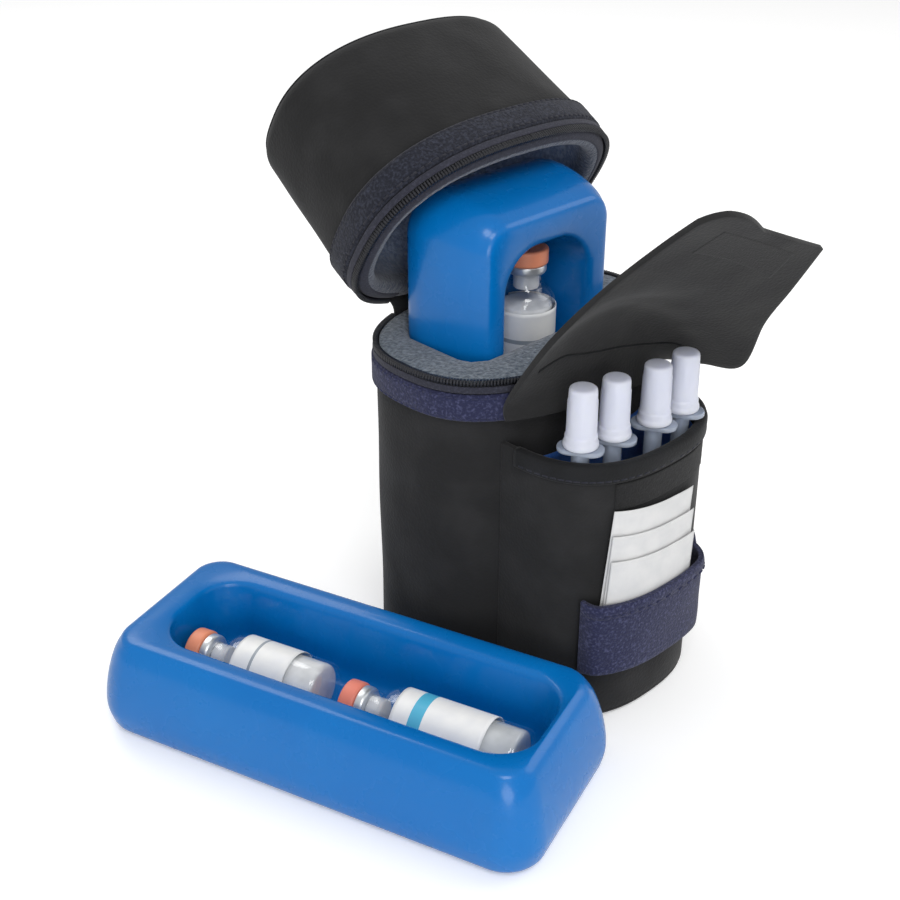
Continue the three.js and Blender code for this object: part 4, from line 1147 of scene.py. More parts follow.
@dataclass
class SyringePocket:
    """The front pocket with its lining, hem, loop strip and the navy swab pocket sewn to it."""

    mouth: float = 104.5
    foot: float = 2.2
    cloth: float = 2.0
    slack: float = 0.5
    panel_in: float = 0.02
    hem: float = 6.5
    hem_run: float = 124.0
    hem_ends: Pair = (0.004, 0.996)
    hem_sewn: Pair = (0.01, 0.99)
    strip: Pair = (87.4, 97.4)
    strip_half: float = 23.0
    strip_out: float = 0.5
    strip_fuzz: float = 0.12
    lining: float = 0.5
    lining_out: float = 0.9
    lining_ends: Pair = (-27.0, 33.5)
    lining_shares: Pair = (0.6, 0.95)
    lining_levels: Pair = (40.0, 96.0)
    swab_levels: Pair = (22.0, 53.0)
    swab_ends: Pair = (-33.0, 36.0)
    swab_out: float = 4.6
    swab_cloth: float = 1.6
    swab_gap: float = 0.25
    swab_hem: float = 5.0
    swab_run: float = 84.0
    swab_sag: float = 0.3
    swab_rise: float = 11.0
    swab_fall: float = 7.0
    swab_full_to: float = 0.68
    swab_climb: float = 2.4
    swab_flat: float = 0.7
    swab_flat_from: float = 0.5
    swab_flat_run: float = 0.2

    def build(self) -> None:
        """Builds and dresses every piece of the pocket."""
        self.panel()
        self.lining_cloth()
        self.hem_tape()
        self.loops()
        self.swab_pouch()

    def panel(self) -> None:
        """Builds the pocket's cloth."""
        def place(u: float, v: float) -> Vector:
            drift = self.slack * math.sin(math.pi * v) * ripple(u * 5, v * 2.4, 4.2)
            return POCKET.path(u, drift - self.panel_in, part_way((self.foot, self.mouth), v))

        cloth = Cloth(KNIT, Slot.CLOTH, Wall(self.cloth), length=101.8)
        cloth.make("pocket_cloth", 110, 34, place, Body.CASE, ["pocket_panel"])

    def lining_cloth(self) -> None:
        """Builds the blue lining inside the pocket, on the case's wall and on the pocket's right side."""
        def on_wall(u: float, v: float) -> Vector:
            x = part_way(self.lining_ends, u)
            return Vector((x, CASE.front(x) - self.lining_out, part_way(self.lining_levels, v)))

        def on_side(u: float, v: float) -> Vector:
            return POCKET.path(part_way(self.lining_shares, u), -self.cloth - self.lining,
                               part_way(self.lining_levels, v))

        height = self.lining_levels[1] - self.lining_levels[0]
        cloth = Cloth(LINING, Slot.NAVY, Wall(self.lining, offset=0.0, edge=0), height)
        for name, place in (("pocket_lining_cloth", on_wall), ("pocket_side_lining_cloth", on_side)):
            cloth.make(name, 48, 24, place, Body.CASE)

    def hem_tape(self) -> None:
        """Builds the hem folded over the mouth, with its stitches."""
        fold = self.mouth - self.hem
        rows = [(0.35, fold), (0.95, fold + 0.6), (1.0, self.mouth - 1.2), (0.5, self.mouth + 0.2),
                (-1.0, self.mouth + 0.55), (-2.5, self.mouth + 0.1), (-2.6, self.mouth - 5)]

        def place(u: float, v: float) -> Vector:
            return POCKET.at(part_way(self.hem_ends, u), *straight_between(rows, v))

        tape = Cloth(BINDING, Slot.HEM, Wall(0.7, edge=0), length=15.2, held="folded")
        tape.make("pocket_hem_binding", 110, 12, place, Body.CASE, ["pocket_hem"])
        stitches("pocket_hem_stitches", lambda s: POCKET.at(part_way(self.hem_sewn, s), 1.0, fold + 1.4),
                 lambda s: POCKET.normal(part_way(self.hem_sewn, s)), self.hem_run, Body.CASE)

    def loops(self) -> None:
        """Builds the loop strip that the flap closes on."""
        ends = [POCKET.share_at(POCKET.centre + side * self.strip_half) for side in (-1, 1)]

        def place(u: float, v: float) -> Vector:
            fuzz = self.strip_fuzz * ripple(u * 70, v * 16, 2.0)
            return POCKET.at(part_way(ends, u), self.strip_out + fuzz, part_way(self.strip, v))

        pile = Cloth(LOOPS, Slot.HOOKS, Wall(0.6, edge=0.2), length=10)
        pile.make("pocket_loop_pile", 60, 14, place, Body.CASE, ["pocket_loop_strip"])

    def swab_stand(self, u: float, z: float) -> float:
        """Returns how far the pouch's face is off the panel: full over the packets, flat at its right end."""
        fall = self.swab_fall * max(0.0, self.swab_full_to - u)
        side = math.sin(min(1.0, self.swab_rise * u, fall) * math.pi / 2)
        climb = math.sin(min(1.0, max(0.0, (z - self.swab_levels[0]) / self.swab_climb)) * math.pi / 2)
        flat = 1.0 - self.swab_flat * smooth_step((u - self.swab_flat_from) / self.swab_flat_run)
        return (self.swab_gap + self.swab_cloth) * flat + (self.swab_out - self.swab_gap) * side * climb

    def swab_pouch(self) -> None:
        """Builds the navy pouch and its hem."""
        ends = [POCKET.share_at(x) for x in self.swab_ends]
        top = self.swab_levels[1]

        def pouch(u: float, v: float) -> Vector:
            z = part_way(self.swab_levels, v ** 1.3)
            sag = self.swab_sag * math.sin(math.pi * v) * ripple(u * 6, v * 3, 9.1)
            return POCKET.at(part_way(ends, u), self.swab_stand(u, z) + sag, z)

        def hem(u: float, v: float) -> Vector:
            z = part_way((top - self.swab_hem, top + 0.2), v)
            out = self.swab_stand(u, z) + 0.3 + 0.5 * math.sin(math.pi * v)
            return POCKET.at(part_way(ends, u), out, z)

        cloth = Cloth(NAVY, Slot.NAVY, Wall(self.swab_cloth), length=36)
        cloth.make("swab_pouch_cloth", 80, 24, pouch, Body.CASE, ["swab_pocket"])
        fold = Cloth(NAVY, Slot.NAVY, Wall(0.6, edge=0.2), length=10, held="folded")
        fold.make("swab_pouch_hem", 80, 6, hem, Body.CASE, ["swab_pocket_hem"])
        z = top - 3.6
        stitches("swab_pouch_stitches",
                 lambda s: POCKET.at(part_way(ends, 0.02 + 0.96 * s), self.swab_stand(s, z) + 1.1, z),
                 lambda s: POCKET.normal(part_way(ends, s)), self.swab_run, Body.CASE, THREAD_NAVY)


@dataclass
class PocketFlap:
    """The pocket's cloth flap, standing open and twisted, sewn to the case's front."""

    thickness: float = 2.0
    seam_ends: Pair = (-42.0, 40.0)
    seam_out: float = 3.7
    syringe_top: float = 130.6
    wall_to: float = 0.45
    wall_fade: float = 0.2
    corner: float = 0.12
    swell: float = 0.05
    swell_to: float = 0.45
    corner_cut: float = 0.06
    bend_start: Triple = (0.0, -52.0, 148.0)
    bend_run: Triple = (2.2, -14.4, 8.6)
    hook_across: Pair = (0.2, 0.8)
    hook_along: Pair = (0.82, 0.94)
    shadow_tube_across: Pair = (0.06, 0.98)
    tube_radius: float = 0.45
    nudge: float = 0.01
    last_step: float = 0.04

    def rows(self) -> list[list[Vector]]:
        """Returns the left, middle and right points of each row from the seam to the free edge."""
        ends = (self.seam_ends[0], sum(self.seam_ends) / 2, self.seam_ends[1])
        drops = ((14, 16, 22), (8, 2, 17))
        seam = [[Vector((x, CASE.front(x) - self.seam_out, CASE.rim - d)) for x, d in zip(ends, row)]
                for row in drops]
        free = (((-41.5, 7, 8.8), (-1, 12, 15.4), (43, 12, -17.1)),
                ((-39.3, 17, 23.1), (0, 23, 23.4), (45, 27, -13.6)),
                ((-31.4, 27, 37.4), (3, 35, 30.4), (40, 37, 7.4)),
                ((-26, 42, 53.4), (6, 46, 42.4), (38, 47, 23.4)),
                ((-25, 57, 66.9), (6, 57, 53.4), (36.9, 57, 40.6)))
        rest = [[Vector((x, -CASE.half_depth - reach, self.syringe_top + z)) for x, reach, z in row]
                for row in free]
        return seam + rest

    def at(self, across: float, along: float) -> Vector:
        """Returns a point of the flap's middle surface, which follows the case's wall by the seam."""
        rows = self.rows()
        ends = [Vector(between([tuple(row[i]) for row in rows], along)) for i in range(3)]
        p = self.curve(*ends, across)
        chord = self.curve(*(CASE.front(q.x) for q in ends), across)
        on_wall = min(1.0, max(0.0, (self.wall_to - along) / self.wall_fade))
        return Vector((p.x, p.y + (CASE.front(p.x) - chord) * on_wall, p.z))

    @staticmethod
    def curve(left: Vector | float, middle: Vector | float, right: Vector | float,
              across: float) -> Vector | float:
        """Returns the value at a share of the way along the even curve through three values."""
        rise = 4 * middle - 3 * left - right
        bend = 2 * (left + right - 2 * middle)
        return left + rise * across + bend * across ** 2

    def normal(self, across: float, along: float) -> Vector:
        """Returns the flap's direction towards the pocket side."""
        step = self.nudge
        a = self.at(across, min(1.0, along + step)) - self.at(across, max(0.0, along - step))
        b = self.at(min(1.0, across + step), along) - self.at(max(0.0, across - step), along)
        return b.cross(a).normalized()

    def end(self, across: float) -> float:
        """Returns how far along the rounded free edge is."""
        near = max(0.0, 1 - across / self.corner)
        swell = math.sin(math.pi * min(1.0, across / self.swell_to))
        return 1 + self.swell * swell - self.corner_cut * near ** 2

    def reach(self, across: float, along: float) -> Vector:
        """Returns a point of the flap, carried straight on past its last row."""
        run = self.at(across, 1.0) - self.at(across, 1 - self.last_step)
        return self.at(across, min(1.0, along)) + run * max(0.0, along - 1.0) / self.last_step

    def bend(self, piece: Piece) -> None:
        """Bakes the placement of a piece of the flap into its mesh."""
        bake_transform(piece)

    def fold_shadow_tube(self) -> None:
        """Builds a dark tube in the binding's finish where the flap folds away from the case's front: painted
        shadow of the fold.
        """
        rows = [(0.27,), (0.262,), (0.235,), (0.218,), (0.214,), (0.218,), (0.24,), (0.3,), (0.335,)]

        def place(u: float, v: float) -> Vector:
            across = part_way(self.shadow_tube_across, u)
            along = between(rows, u)[0]
            out = self.normal(across, along)
            run = (self.at(across, along + self.nudge) - self.at(across, along - self.nudge)).normalized()
            middle = self.at(across, along) + out * (self.thickness / 2 + 0.1)
            return middle + (out * math.cos(v * TURN) + run * math.sin(v * TURN)) * self.tube_radius

        piece = shaped_grid("flap_fold_welt", 60, 8, place)
        # Painted shadow: the near-black binding finish on this tube draws the dark line under the fold.
        put(piece, BINDING, None)
        self.bend(piece)

    def build(self) -> None:
        """Builds the flap's cloth, its hook strip and the dark tube of painted shadow at its fold."""
        def cloth(u: float, v: float) -> Vector:
            return self.reach(u, v * self.end(u))

        def hooks(u: float, v: float) -> Vector:
            across, along = part_way(self.hook_across, u), part_way(self.hook_along, v)
            return self.at(across, along) + self.normal(across, along) * (self.thickness / 2 - 0.06)

        panel = Cloth(KNIT_FLAP, Slot.CLOTH, Wall(self.thickness, offset=0.0, edge=0.6), length=112)
        self.bend(panel.make("flap_cloth", 44, 56, cloth, None, ["flap_root", "flap_panel"]))
        pile = Cloth(HOOKS, Slot.HOOKS, Wall(0.3, offset=0.0, edge=0.1), length=11)
        pile.make("flap_hook_pile", 40, 12, hooks, Body.FLAP, ["flap_hook_strip"])
        self.fold_shadow_tube()


@dataclass
class ZipSlider:
    """The zip slider parked at the end of the body's teeth, with its hanging pull tab."""

    angle: float = 48.0
    size: Triple = (7.0, 3.2, 9.0)
    tab: Triple = (5.0, 1.3, 19.0)
    tab_drop: float = 2.0
    gap: float = 0.3
    teeth_out: float = 1.9
    inset: float = 0.18

    def frame(self) -> Matrix:
        """Returns the place of the slider: X along the zip, -Y outwards."""
        angle = math.radians(self.angle)
        seat = CASE.at(angle, 0, 0)
        ahead = (CASE.at(angle + CASE.nudge, 0, 0) - seat).normalized()
        return Matrix.Translation(seat) @ Matrix.Rotation(math.atan2(ahead.y, ahead.x), 4, "Z")

    def block(self, name: str, size: Triple, middle: Vector, bevel: float, dish: float) -> Piece:
        """Builds a bevelled block.

        Args:
            name: the object's name.
            size: its three sizes in millimetres.
            middle: its middle in the slider's frame.
            bevel: edge rounding.
            dish: how far its front face is dished.

        Returns:
            The block.
        """
        bm = bmesh.new()
        bmesh.ops.create_cube(bm, size=1.0, matrix=Matrix.Translation(middle) @ Matrix.Diagonal((*size, 1.0)))
        front = [f for f in bm.faces if f.normal.y < -0.5]
        bmesh.ops.inset_region(bm, faces=front, thickness=min(size[0], size[2]) * self.inset)
        bmesh.ops.translate(bm, verts=front[0].verts, vec=(0, dish, 0))
        bmesh.ops.bevel(bm, geom=list(bm.edges), offset=bevel, segments=3, profile=0.5, affect="EDGES",
                        material=-1)
        bmesh.ops.transform(bm, matrix=Matrix.Scale(MM, 4) @ self.frame(), verts=bm.verts)
        return make_object(name, bm)

    def build(self) -> None:
        """Builds the slider and the tab."""
        _, thick, height = self.size
        out = -(self.teeth_out + self.gap + thick / 2)
        body = self.block("slider_body", self.size, Vector((0, out, CASE.rim - height / 2)), 0.5, 0.5)
        put(body, ENAMEL, Body.CASE, ["zip_slider"])
        _, tab_thick, tab_height = self.tab
        tab_out = out - thick / 2 - self.gap - tab_thick / 2
        hang = Vector((0, tab_out, CASE.rim - self.tab_drop - tab_height / 2))
        put(self.block("slider_pull_tab", self.tab, hang, 0.3, 0.35), ENAMEL, Body.TAB,
            ["zip_pull_tab"])


@dataclass
class Vial:
    """A medicine vial along its own +Z from its base: glass, contents, stopper, crimp ring, cap and label."""

    name: str
    length: float
    body: Body | str
    where: Matrix
    cap: Finish
    label: Finish
    contents: Finish
    radius: float = 10.8
    wall: float = 1.0
    bottom: float = 1.3
    neck: float = 6.2
    neck_wall: float = 1.4
    neck_height: float = 4.0
    shoulder: float = 7.0
    cap_radius: float = 7.8
    cap_height: float = 5.6
    cap_dish: float = 0.4
    crimp_height: float = 3.4
    crimp_in: float = 0.6
    gap: float = 0.3
    label_low: float = 12.0
    label_out: float = 0.16
    label_arc: Pair = (12.0, 348.0)

    def build(self) -> None:
        """Builds and dresses every piece of the vial."""
        r, inside, bore = self.radius, self.radius - self.wall, self.neck - self.neck_wall
        top = self.length - self.cap_height - self.crimp_height - self.neck_height - 2 * self.gap
        neck_top, slope = top + self.neck_height, top - self.shoulder
        outside = [(0, 0), (r, 0), (r, slope), (r - 1.0, top - 3.2), (self.neck, top - 0.6)]
        rim = [(self.neck, neck_top), (bore, neck_top)]
        within = [(bore, top - 0.6), (r - 2.1, top - 4), (inside, slope), (inside, self.bottom),
                  (0, self.bottom)]
        self.piece("glass", outside + rim + within, 1.8, GLASS, Slot.GLASS)
        fill, low, level = inside - 0.08, self.bottom + 0.1, slope - 0.5
        self.piece("contents", [(0, low), (fill, low), (fill, level), (0, level)], 1.5, self.contents)
        plug, low, high = bore - 0.1, top - 1.5, neck_top + 0.2
        self.piece("stopper", [(0, low), (plug, low), (plug, high), (0, high)], 0.6, STOPPER)
        ring, low = self.cap_radius - self.crimp_in, neck_top + self.gap
        high = low + self.crimp_height
        self.piece("crimp", [(0, low), (ring - 0.5, low), (ring, low + 0.9), (ring, high), (0, high)], 0.5,
                   CRIMP, Slot.CRIMP)
        c, low, high = self.cap_radius, high + self.gap * 0.3, self.length
        dish = high - self.cap_dish
        self.piece("cap", [(0, low), (c, low), (c, high), (c - 2.2, high), (c - 2.6, dish), (0, dish)], 1.0,
                   self.cap, Slot.ORANGE)
        self.wrap(slope - 1)

    def piece(self, kind: str, corners: Profile, radius: float, finish: Finish,
              slot: Slot | None = None) -> None:
        """Turns one piece of the vial and dresses it; without a slot it lies inside the glass as an extra."""
        made = turned(f"{self.name}_{kind}_turned", rounded(corners, radius), 56, self.where)
        put(made, finish, self.body, [f"{self.name}_{kind}"] if slot else [])

    def wrap(self, high: float) -> None:
        """Builds the label wrapped round the vial, with a narrow gap at its join."""
        levels = (self.label_low, high)
        out = self.radius + self.label_out

        def place(u: float, v: float) -> Vector:
            angle = math.radians(part_way(self.label_arc, v))
            return self.where @ Vector((out * math.cos(angle), out * math.sin(angle), part_way(levels, u)))

        paper = Cloth(self.label, Slot.LABEL, Wall(0.15, offset=1.0, edge=0), high - self.label_low, "laid")
        paper.make(f"{self.name}_paper_label", 20, 72, place, self.body, [f"{self.name}_label"])


@dataclass
class ColdPack:
    """A blue moulded cold pack with a long well for two vials, in its own frame with the well upwards."""

    name: str
    body: Body
    where: Matrix
    length: float = 171.0
    width: float = 74.0
    height: float = 37.0
    corner: float = 14.0
    foot_inset: float = 6.0
    crest_inset: float = 8.5
    well: Triple = (139.0, 38.5, 13.0)
    well_along: float = 3.5
    floor: float = 10.0
    draft: float = 4.0
    round: float = 9.0
    ring_steps: int = 5
    vial_gap: float = 0.75

    def rings(self) -> list[tuple[float, ...]]:
        """Returns length, width, corner, height and shift along of the main rings, from foot to well."""
        foot, crest, top, low = self.foot_inset, self.crest_inset, self.height, self.floor
        draft, curve = self.draft, self.round
        outer = [(foot, 0), (0.33 * foot, 0.06), (0.07 * foot, 0.18), (0, 0.32), (0.13 * crest, 0.55),
                 (0.38 * crest, 0.78), (0.65 * crest, 0.92), (crest, 1)]
        inner = [(0.7 * curve, top - 0.06 * curve), (0.2 * curve, top - 0.4 * curve),
                 (-0.5 * draft, (top + low) / 2), (-draft, low + 0.5 * curve),
                 (-draft - 0.5 * curve, low + 0.1 * curve), (-draft - 0.9 * curve, low)]
        length, width, corner = self.well
        outside = [(self.length - 2 * inset, self.width - 2 * inset, self.corner - inset / 2, share * top, 0)
                   for inset, share in outer]
        return outside + [(length + g, width + g, corner + g / 2, z, self.well_along) for g, z in inner]

    def build(self) -> None:
        """Builds the moulding on rings eased through the main ones, closed at the foot and at the floor."""
        rings = self.rings()
        steps = self.ring_steps * (len(rings) - 1)
        rows = [between(rings, step / steps) for step in range(steps + 1)]
        closing = 2

        def place(u: float, v: float) -> Vector:
            spot = v * (len(rows) - 1 + 2 * closing) - closing
            length, width, corner, z, along = straight_between(rows, spot / (len(rows) - 1))
            beyond = max(0.0, -spot, spot - len(rows) + 1)
            p = rounded_slot(length, width, corner, u % 1.0) * max(0.0, 1 - beyond / closing)
            return self.where @ Vector((p.x + along, p.y, z))

        piece = shaped_grid(f"{self.name}_moulding", 112, len(rows) - 1 + 2 * closing, place)
        put(piece, BLUE, self.body, [self.name])

    def vial_frame(self, base: float, across: float) -> Matrix:
        """Returns the place of a vial lying in the well with its cap towards the pack's -X.

        Args:
            base: where the vial's base is along the pack.
            across: where its axis is across the pack.

        Returns:
            The vial's frame, its Z along the well.
        """
        axis_height = self.floor + Vial.radius + self.vial_gap
        lay = Matrix.Rotation(-math.pi / 2, 4, "Y") @ Matrix.Rotation(math.pi, 4, "Z")
        return self.where @ Matrix.Translation((base, across, axis_height)) @ lay


@dataclass
class Syringe:
    """A capped insulin syringe standing in the pocket."""

    number: int
    x: float
    y: float
    floor: float = 2.7
    barrel: float = 3.1
    barrel_wall: float = 0.7
    shield: float = 42.0
    gap: float = 0.3
    flange_low: float = 107.0
    flange: Triple = (16.0, 8.8, 1.8)
    flange_turn: float = -60.0
    cap_radius: float = 6.0
    cap_height: float = 21.5
    ribs: int = 8
    rib: float = 0.2

    def build(self) -> None:
        """Builds and dresses shield, finger flange, barrel, plunger rod and plunger cap."""
        r, low, high = self.barrel, self.floor, self.floor + self.shield
        shield = [(0, low), (2.0, low), (2.4, low + 14), (r, low + 17), (r, high), (0, high)]
        self.piece("shield_turned", shield, 0.8, 28, CAP_ORANGE, Slot.ORANGE, "shield")
        self.finger_flange()
        low, high, bore = high + self.gap, self.flange_low + 0.2, r - self.barrel_wall
        tube = [(0, low), (r, low), (r, high), (bore, high), (bore, low + 1.5), (0, low + 1.5)]
        self.piece("barrel_turned", tube, 0.4, 32, BARREL, Slot.CLEAR, "barrel")
        high = self.flange_low + 1.9
        rod = [(0, low + 18), (1.9, low + 18), (1.9, low + 21), (1.0, low + 22), (1.0, high), (0, high)]
        self.piece("plunger_rod", rod, 0.4, 20, MILKY, Slot.MILKY)
        c, low = self.cap_radius, self.flange_low + self.flange[2] + self.gap
        high = low + self.cap_height
        cap = [(0, low), (c, low), (c, low + 1.6), (c * 0.93, low + 2.4), (c * 0.92, low + 4.2),
               (c * 0.86, low + 4.8), (c * 0.8, high - 3.5), (c * 0.78, high), (0, high)]
        made = self.piece("cap_turned", cap, 1.3, 48, MILKY, Slot.MILKY, "plunger_cap")
        self.flute(made, low + 5.5, high - 4.0)

    def piece(self, kind: str, corners: Profile, radius: float, steps: int, finish: Finish, slot: Slot,
              node: str = "") -> Piece:
        """Turns and dresses one piece of the syringe; without a node it is an extra inside the others."""
        body = f"syringe_{self.number}"
        where = Matrix.Translation((self.x, self.y, 0))
        made = turned(f"{body}_{kind}", rounded(corners, radius), steps, where)
        put(made, finish, body, [f"{body}_{node}"] if node else [])
        return made

    def flute(self, piece: Piece, low: float, high: float) -> None:
        """Raises fine grip ribs on the cap's side."""
        for vert in piece.data.vertices:
            side = Vector((vert.co.x - self.x * MM, vert.co.y - self.y * MM, 0))
            if side.length < 0.003 or not low * MM < vert.co.z < high * MM:
                continue
            ribs = max(0.0, math.cos(self.ribs * math.atan2(side.y, side.x)))
            vert.co += side.normalized() * self.rib * MM * ribs

    def finger_flange(self) -> None:
        """Builds the oval finger flange at the barrel's top."""
        length, width, thick = self.flange
        bm = bmesh.new()
        bmesh.ops.create_circle(bm, cap_ends=True, segments=48, radius=1.0)
        for vert in bm.verts:
            share = (math.atan2(vert.co.y, vert.co.x) / TURN) % 1.0
            spot = rounded_slot(length, width, width / 2 - 0.05, share)
            vert.co = Vector((spot.x, spot.y, self.flange_low))
        made = bmesh.ops.extrude_face_region(bm, geom=list(bm.faces))
        lifted = [g for g in made["geom"] if isinstance(g, bmesh.types.BMVert)]
        bmesh.ops.translate(bm, verts=lifted, vec=(0, 0, thick))
        bmesh.ops.recalc_face_normals(bm, faces=bm.faces)
        rims = [e for e in bm.edges if e.calc_face_angle(0.0) > 1.0]
        bmesh.ops.bevel(bm, geom=rims, offset=0.4, segments=2, profile=0.5, affect="EDGES", material=-1)
        spin = Matrix.Rotation(math.radians(self.flange_turn), 4, "Z")
        where = Matrix.Translation((self.x, self.y, 0))
        bmesh.ops.transform(bm, matrix=Matrix.Scale(MM, 4) @ where @ spin, verts=bm.verts)
        body = f"syringe_{self.number}"
        put(make_object(f"{body}_finger_flange", bm), BARREL, body)


@dataclass
class SwabPacket:
    """A flat swab packet curved to the pocket, with crimped margins."""

    number: int
    low: float
    out: float
    lean: float
    left: float = -27.0
    right: float = 9.0
    height: float = 42.0
    thickness: float = 0.8
    rim: float = 0.1
    margin: float = 0.06
    swell_run: float = 0.16
    crimp: float = 0.06
    crimp_waves: float = 190.0

    def face(self, side: int) -> Place:
        """Returns the shape of the packet's outer face, or of its inner one where side is -1."""
        ends = [POCKET.share_at(x) for x in (self.left, self.right)]
        width = self.right - self.left
        turn = Matrix.Rotation(-math.radians(self.lean), 2)
        middle = self.out + self.thickness / 2

        def place(u: float, v: float) -> Vector:
            edge = min(u, 1 - u, v, 1 - v)
            swell = smooth_step((edge - self.margin) / self.swell_run)
            crimp = self.crimp * math.sin(v * self.crimp_waves) * (1 - swell) if min(u, 1 - u) > 0.01 else 0.0
            half = self.rim + (self.thickness / 2 - self.rim) * swell
            spot = turn @ Vector(((u - 0.5) * width, (v - 0.5) * self.height))
            share = part_way(ends, 0.5 + spot.x / width)
            return POCKET.at(share, middle + side * half + crimp, self.low + self.height / 2 + spot.y)

        return place

    def build(self) -> None:
        """Builds the packet as a slim pillow with flat margins."""
        outer = shaped_grid(f"swab_packet_{self.number}_sachet", 40, 44, self.face(1))
        inner = shaped_grid("sachet_back", 40, 44, self.face(-1))
        bm = bmesh.new()
        bm.from_mesh(outer.data)
        bm.from_mesh(inner.data)
        bmesh.ops.bridge_loops(bm, edges=[e for e in bm.edges if e.is_boundary])
        bmesh.ops.recalc_face_normals(bm, faces=bm.faces)
        bm.to_mesh(outer.data)
        bm.free()
        outer.data.polygons.foreach_set("use_smooth", [True] * len(outer.data.polygons))
        bpy.data.objects.remove(inner)
        put(outer, SACHET, f"swab_{self.number}", [f"swab_packet_{self.number}"])


@dataclass
class Studio:
    """The pale floor, soft lights and the camera at the photograph's view."""

    eye: Triple = (-337.1, -314.2, 329.0)
    target: Triple = (35.05, 73.68, 30.6)
    lens: float = 55.6
    lit_height: float = 0.09
    floor_radius: float = 6.0
    floor_drop: float = 0.0002
    floor_glow: float = 0.22
    surround: Pair = (0.55, 1.0)

    def build(self) -> None:
        """Builds floor, lights, world and camera."""
        self.floor()
        self.lamp("key_softbox", (-0.55, -0.75, 1.25), 0.6, 6.4)
        self.lamp("low_softbox", (-0.75, -0.9, 0.3), 0.6, 3.8)
        self.lamp("fill_softbox", (0.95, -0.6, 0.8), 0.9, 3.5)
        self.lamp("back_softbox", (0.1, 0.9, 1.1), 0.8, 5.0)
        self.world()
        data = bpy.data.cameras.new("photo_camera")
        data.lens, data.sensor_width = self.lens, 36.0
        data.clip_start, data.clip_end = 0.01, 20.0
        eye, target = Vector(self.eye) * MM, Vector(self.target) * MM
        bpy.context.scene.camera = self.aimed("photo_camera", data, eye, target)
        bpy.context.scene.view_settings.view_transform = "Standard"

    def aimed(self, name: str, data: bpy.types.ID, where: Vector, target: Vector) -> Piece:
        """Places a camera or lamp so that it looks at a point."""
        piece = bpy.data.objects.new(name, data)
        bpy.context.scene.collection.objects.link(piece)
        piece.location = where
        piece.rotation_mode = "QUATERNION"
        piece.rotation_quaternion = (target - where).to_track_quat("-Z", "Y")
        return piece

    def floor(self) -> None:
        """Builds the pale floor, which the camera sees a little brighter than it lights the case."""
        bm = bmesh.new()
        bmesh.ops.create_circle(bm, cap_ends=True, segments=64, radius=self.floor_radius)
        piece = make_object("studio_floor", bm)
        made = bpy.data.materials.new("pale_floor")
        made.use_nodes = True
        tree = made.node_tree
        path = add(tree, "ShaderNodeLightPath")
        glow = reckon(tree, "MULTIPLY", path.outputs["Is Camera Ray"], self.floor_glow)
        feed(tree, tree.nodes["Principled BSDF"],
             {"Base Color": linear("#fbfbfb"), "Roughness": 0.95, "Specular IOR Level": 0.1,
              "Emission Color": linear("#ffffff"), "Emission Strength": glow})
        piece.data.materials.append(made)
        piece.location.z = -self.floor_drop

    def lamp(self, name: str, where: Triple, size: float, power: float) -> None:
        """Adds one soft area lamp that faces the case."""
        data = bpy.data.lights.new(name, "AREA")
        data.shape, data.size, data.energy = "DISK", size, power
        self.aimed(name, data, Vector(where), Vector((0, 0, self.lit_height)))

    def world(self) -> None:
        """Sets an even pale surround that the camera and clear pieces see as white."""
        world = bpy.data.worlds.new("studio_surround")
        bpy.context.scene.world = world
        world.use_nodes = True
        tree = world.node_tree
        path = add(tree, "ShaderNodeLightPath")
        seen = reckon(tree, "MAXIMUM", path.outputs["Is Camera Ray"], path.outputs["Is Transmission Ray"])
        feed(tree, tree.nodes["Background"],
             {"Color": linear("#ffffff"), "Strength": ranged(tree, seen, to=self.surround)})


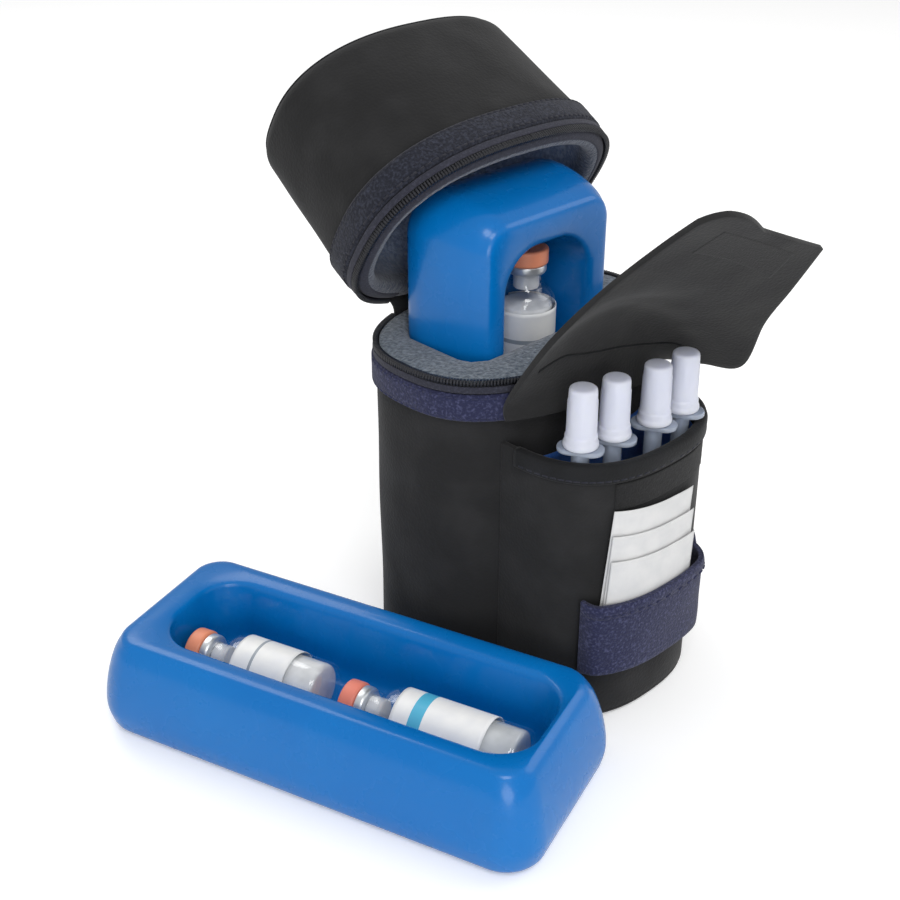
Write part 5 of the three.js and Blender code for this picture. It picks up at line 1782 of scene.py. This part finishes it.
@dataclass
class PackWithVials:
    """A cold pack with the two vials that lie in its well."""

    name: str
    body: Body
    where: Matrix
    lengths: Pair
    across: float
    first_gap: float
    between_gap: float
    vial_bodies: tuple[Body | str, Body | str]
    caps: tuple[Finish, Finish]

    def build(self) -> None:
        """Builds the pack and then its vials, from the well's far end on."""
        pack = ColdPack(f"cold_pack_{self.name}", self.body, self.where)
        pack.build()
        base = pack.well_along + pack.well[0] / 2 - pack.draft - self.first_gap
        labels, contents = (LABEL_BAND, LABEL_PLAIN), (MEDICINE, MEDICINE_CLOUDY)
        for i, length in enumerate(self.lengths):
            Vial(f"vial_{self.name}_{i + 1}", length, self.vial_bodies[i], pack.vial_frame(base, self.across),
                 self.caps[i], labels[i], contents[i]).build()
            base -= length + self.between_gap


UPRIGHT_PLACE = Matrix(((0, 1, 0, 0), (0, 0, -1, 24), (-1, 0, 0, 92.6), (0, 0, 0, 1)))
LOOSE_PLACE = Matrix.Translation((-98.2, -15.2, 0)) @ Matrix.Rotation(math.radians(-71.3), 4, "Z")
# Where each syringe stands, as shares of the pocket's half width and of its reach.
SYRINGE_SPOTS = ((-0.713, 0.55), (-0.372, 0.625), (0.082, 0.708), (0.449, 0.722))
PACKET_COUNT = 3
PACKET_LOW = 26.3
PACKET_STEP = 9.0
PACKET_OUT = 1.3
PACKET_SPACING = 1.1
PACKET_LEAN = 7.0


def build_contents() -> None:
    """Builds both cold packs with their vials, the syringes and the swab packets."""
    PackWithVials("upright", Body.UPRIGHT, UPRIGHT_PLACE, (64.6, 64.6), 4.5, 0.3, 0.3,
                  (Body.UPRIGHT, Body.UPRIGHT), (CAP_ORANGE, CAP_ORANGE)).build()
    PackWithVials("loose", Body.LOOSE, LOOSE_PLACE, (67.0, 55.5), -4.5, 0.6, 8.5,
                  ("loose_vial_1", "loose_vial_2"), (CAP_RED, CAP_ORANGE)).build()
    for number, (across, out) in enumerate(SYRINGE_SPOTS, start=1):
        x = POCKET.centre + across * POCKET.half_width
        Syringe(number, x, POCKET.root_y - out * POCKET.reach).build()
    for i in range(PACKET_COUNT):
        low = PACKET_LOW + PACKET_STEP * (PACKET_COUNT - 1 - i)
        SwabPacket(i + 1, low, PACKET_OUT + PACKET_SPACING * i, PACKET_LEAN - 1 - i).build()


def main() -> None:
    """Builds the studio and every sub-assembly."""
    logging.basicConfig(level=logging.INFO, format="%(name)s %(message)s")
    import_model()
    case = (CaseShell(), CaseLid(), ClothHinge(), SyringePocket(), PocketFlap(), ZipSlider())
    for assembly in (Studio(), *case):
        assembly.build()
    build_contents()
    bpy.context.view_layer.update()


if __name__ == "__main__":
    main()
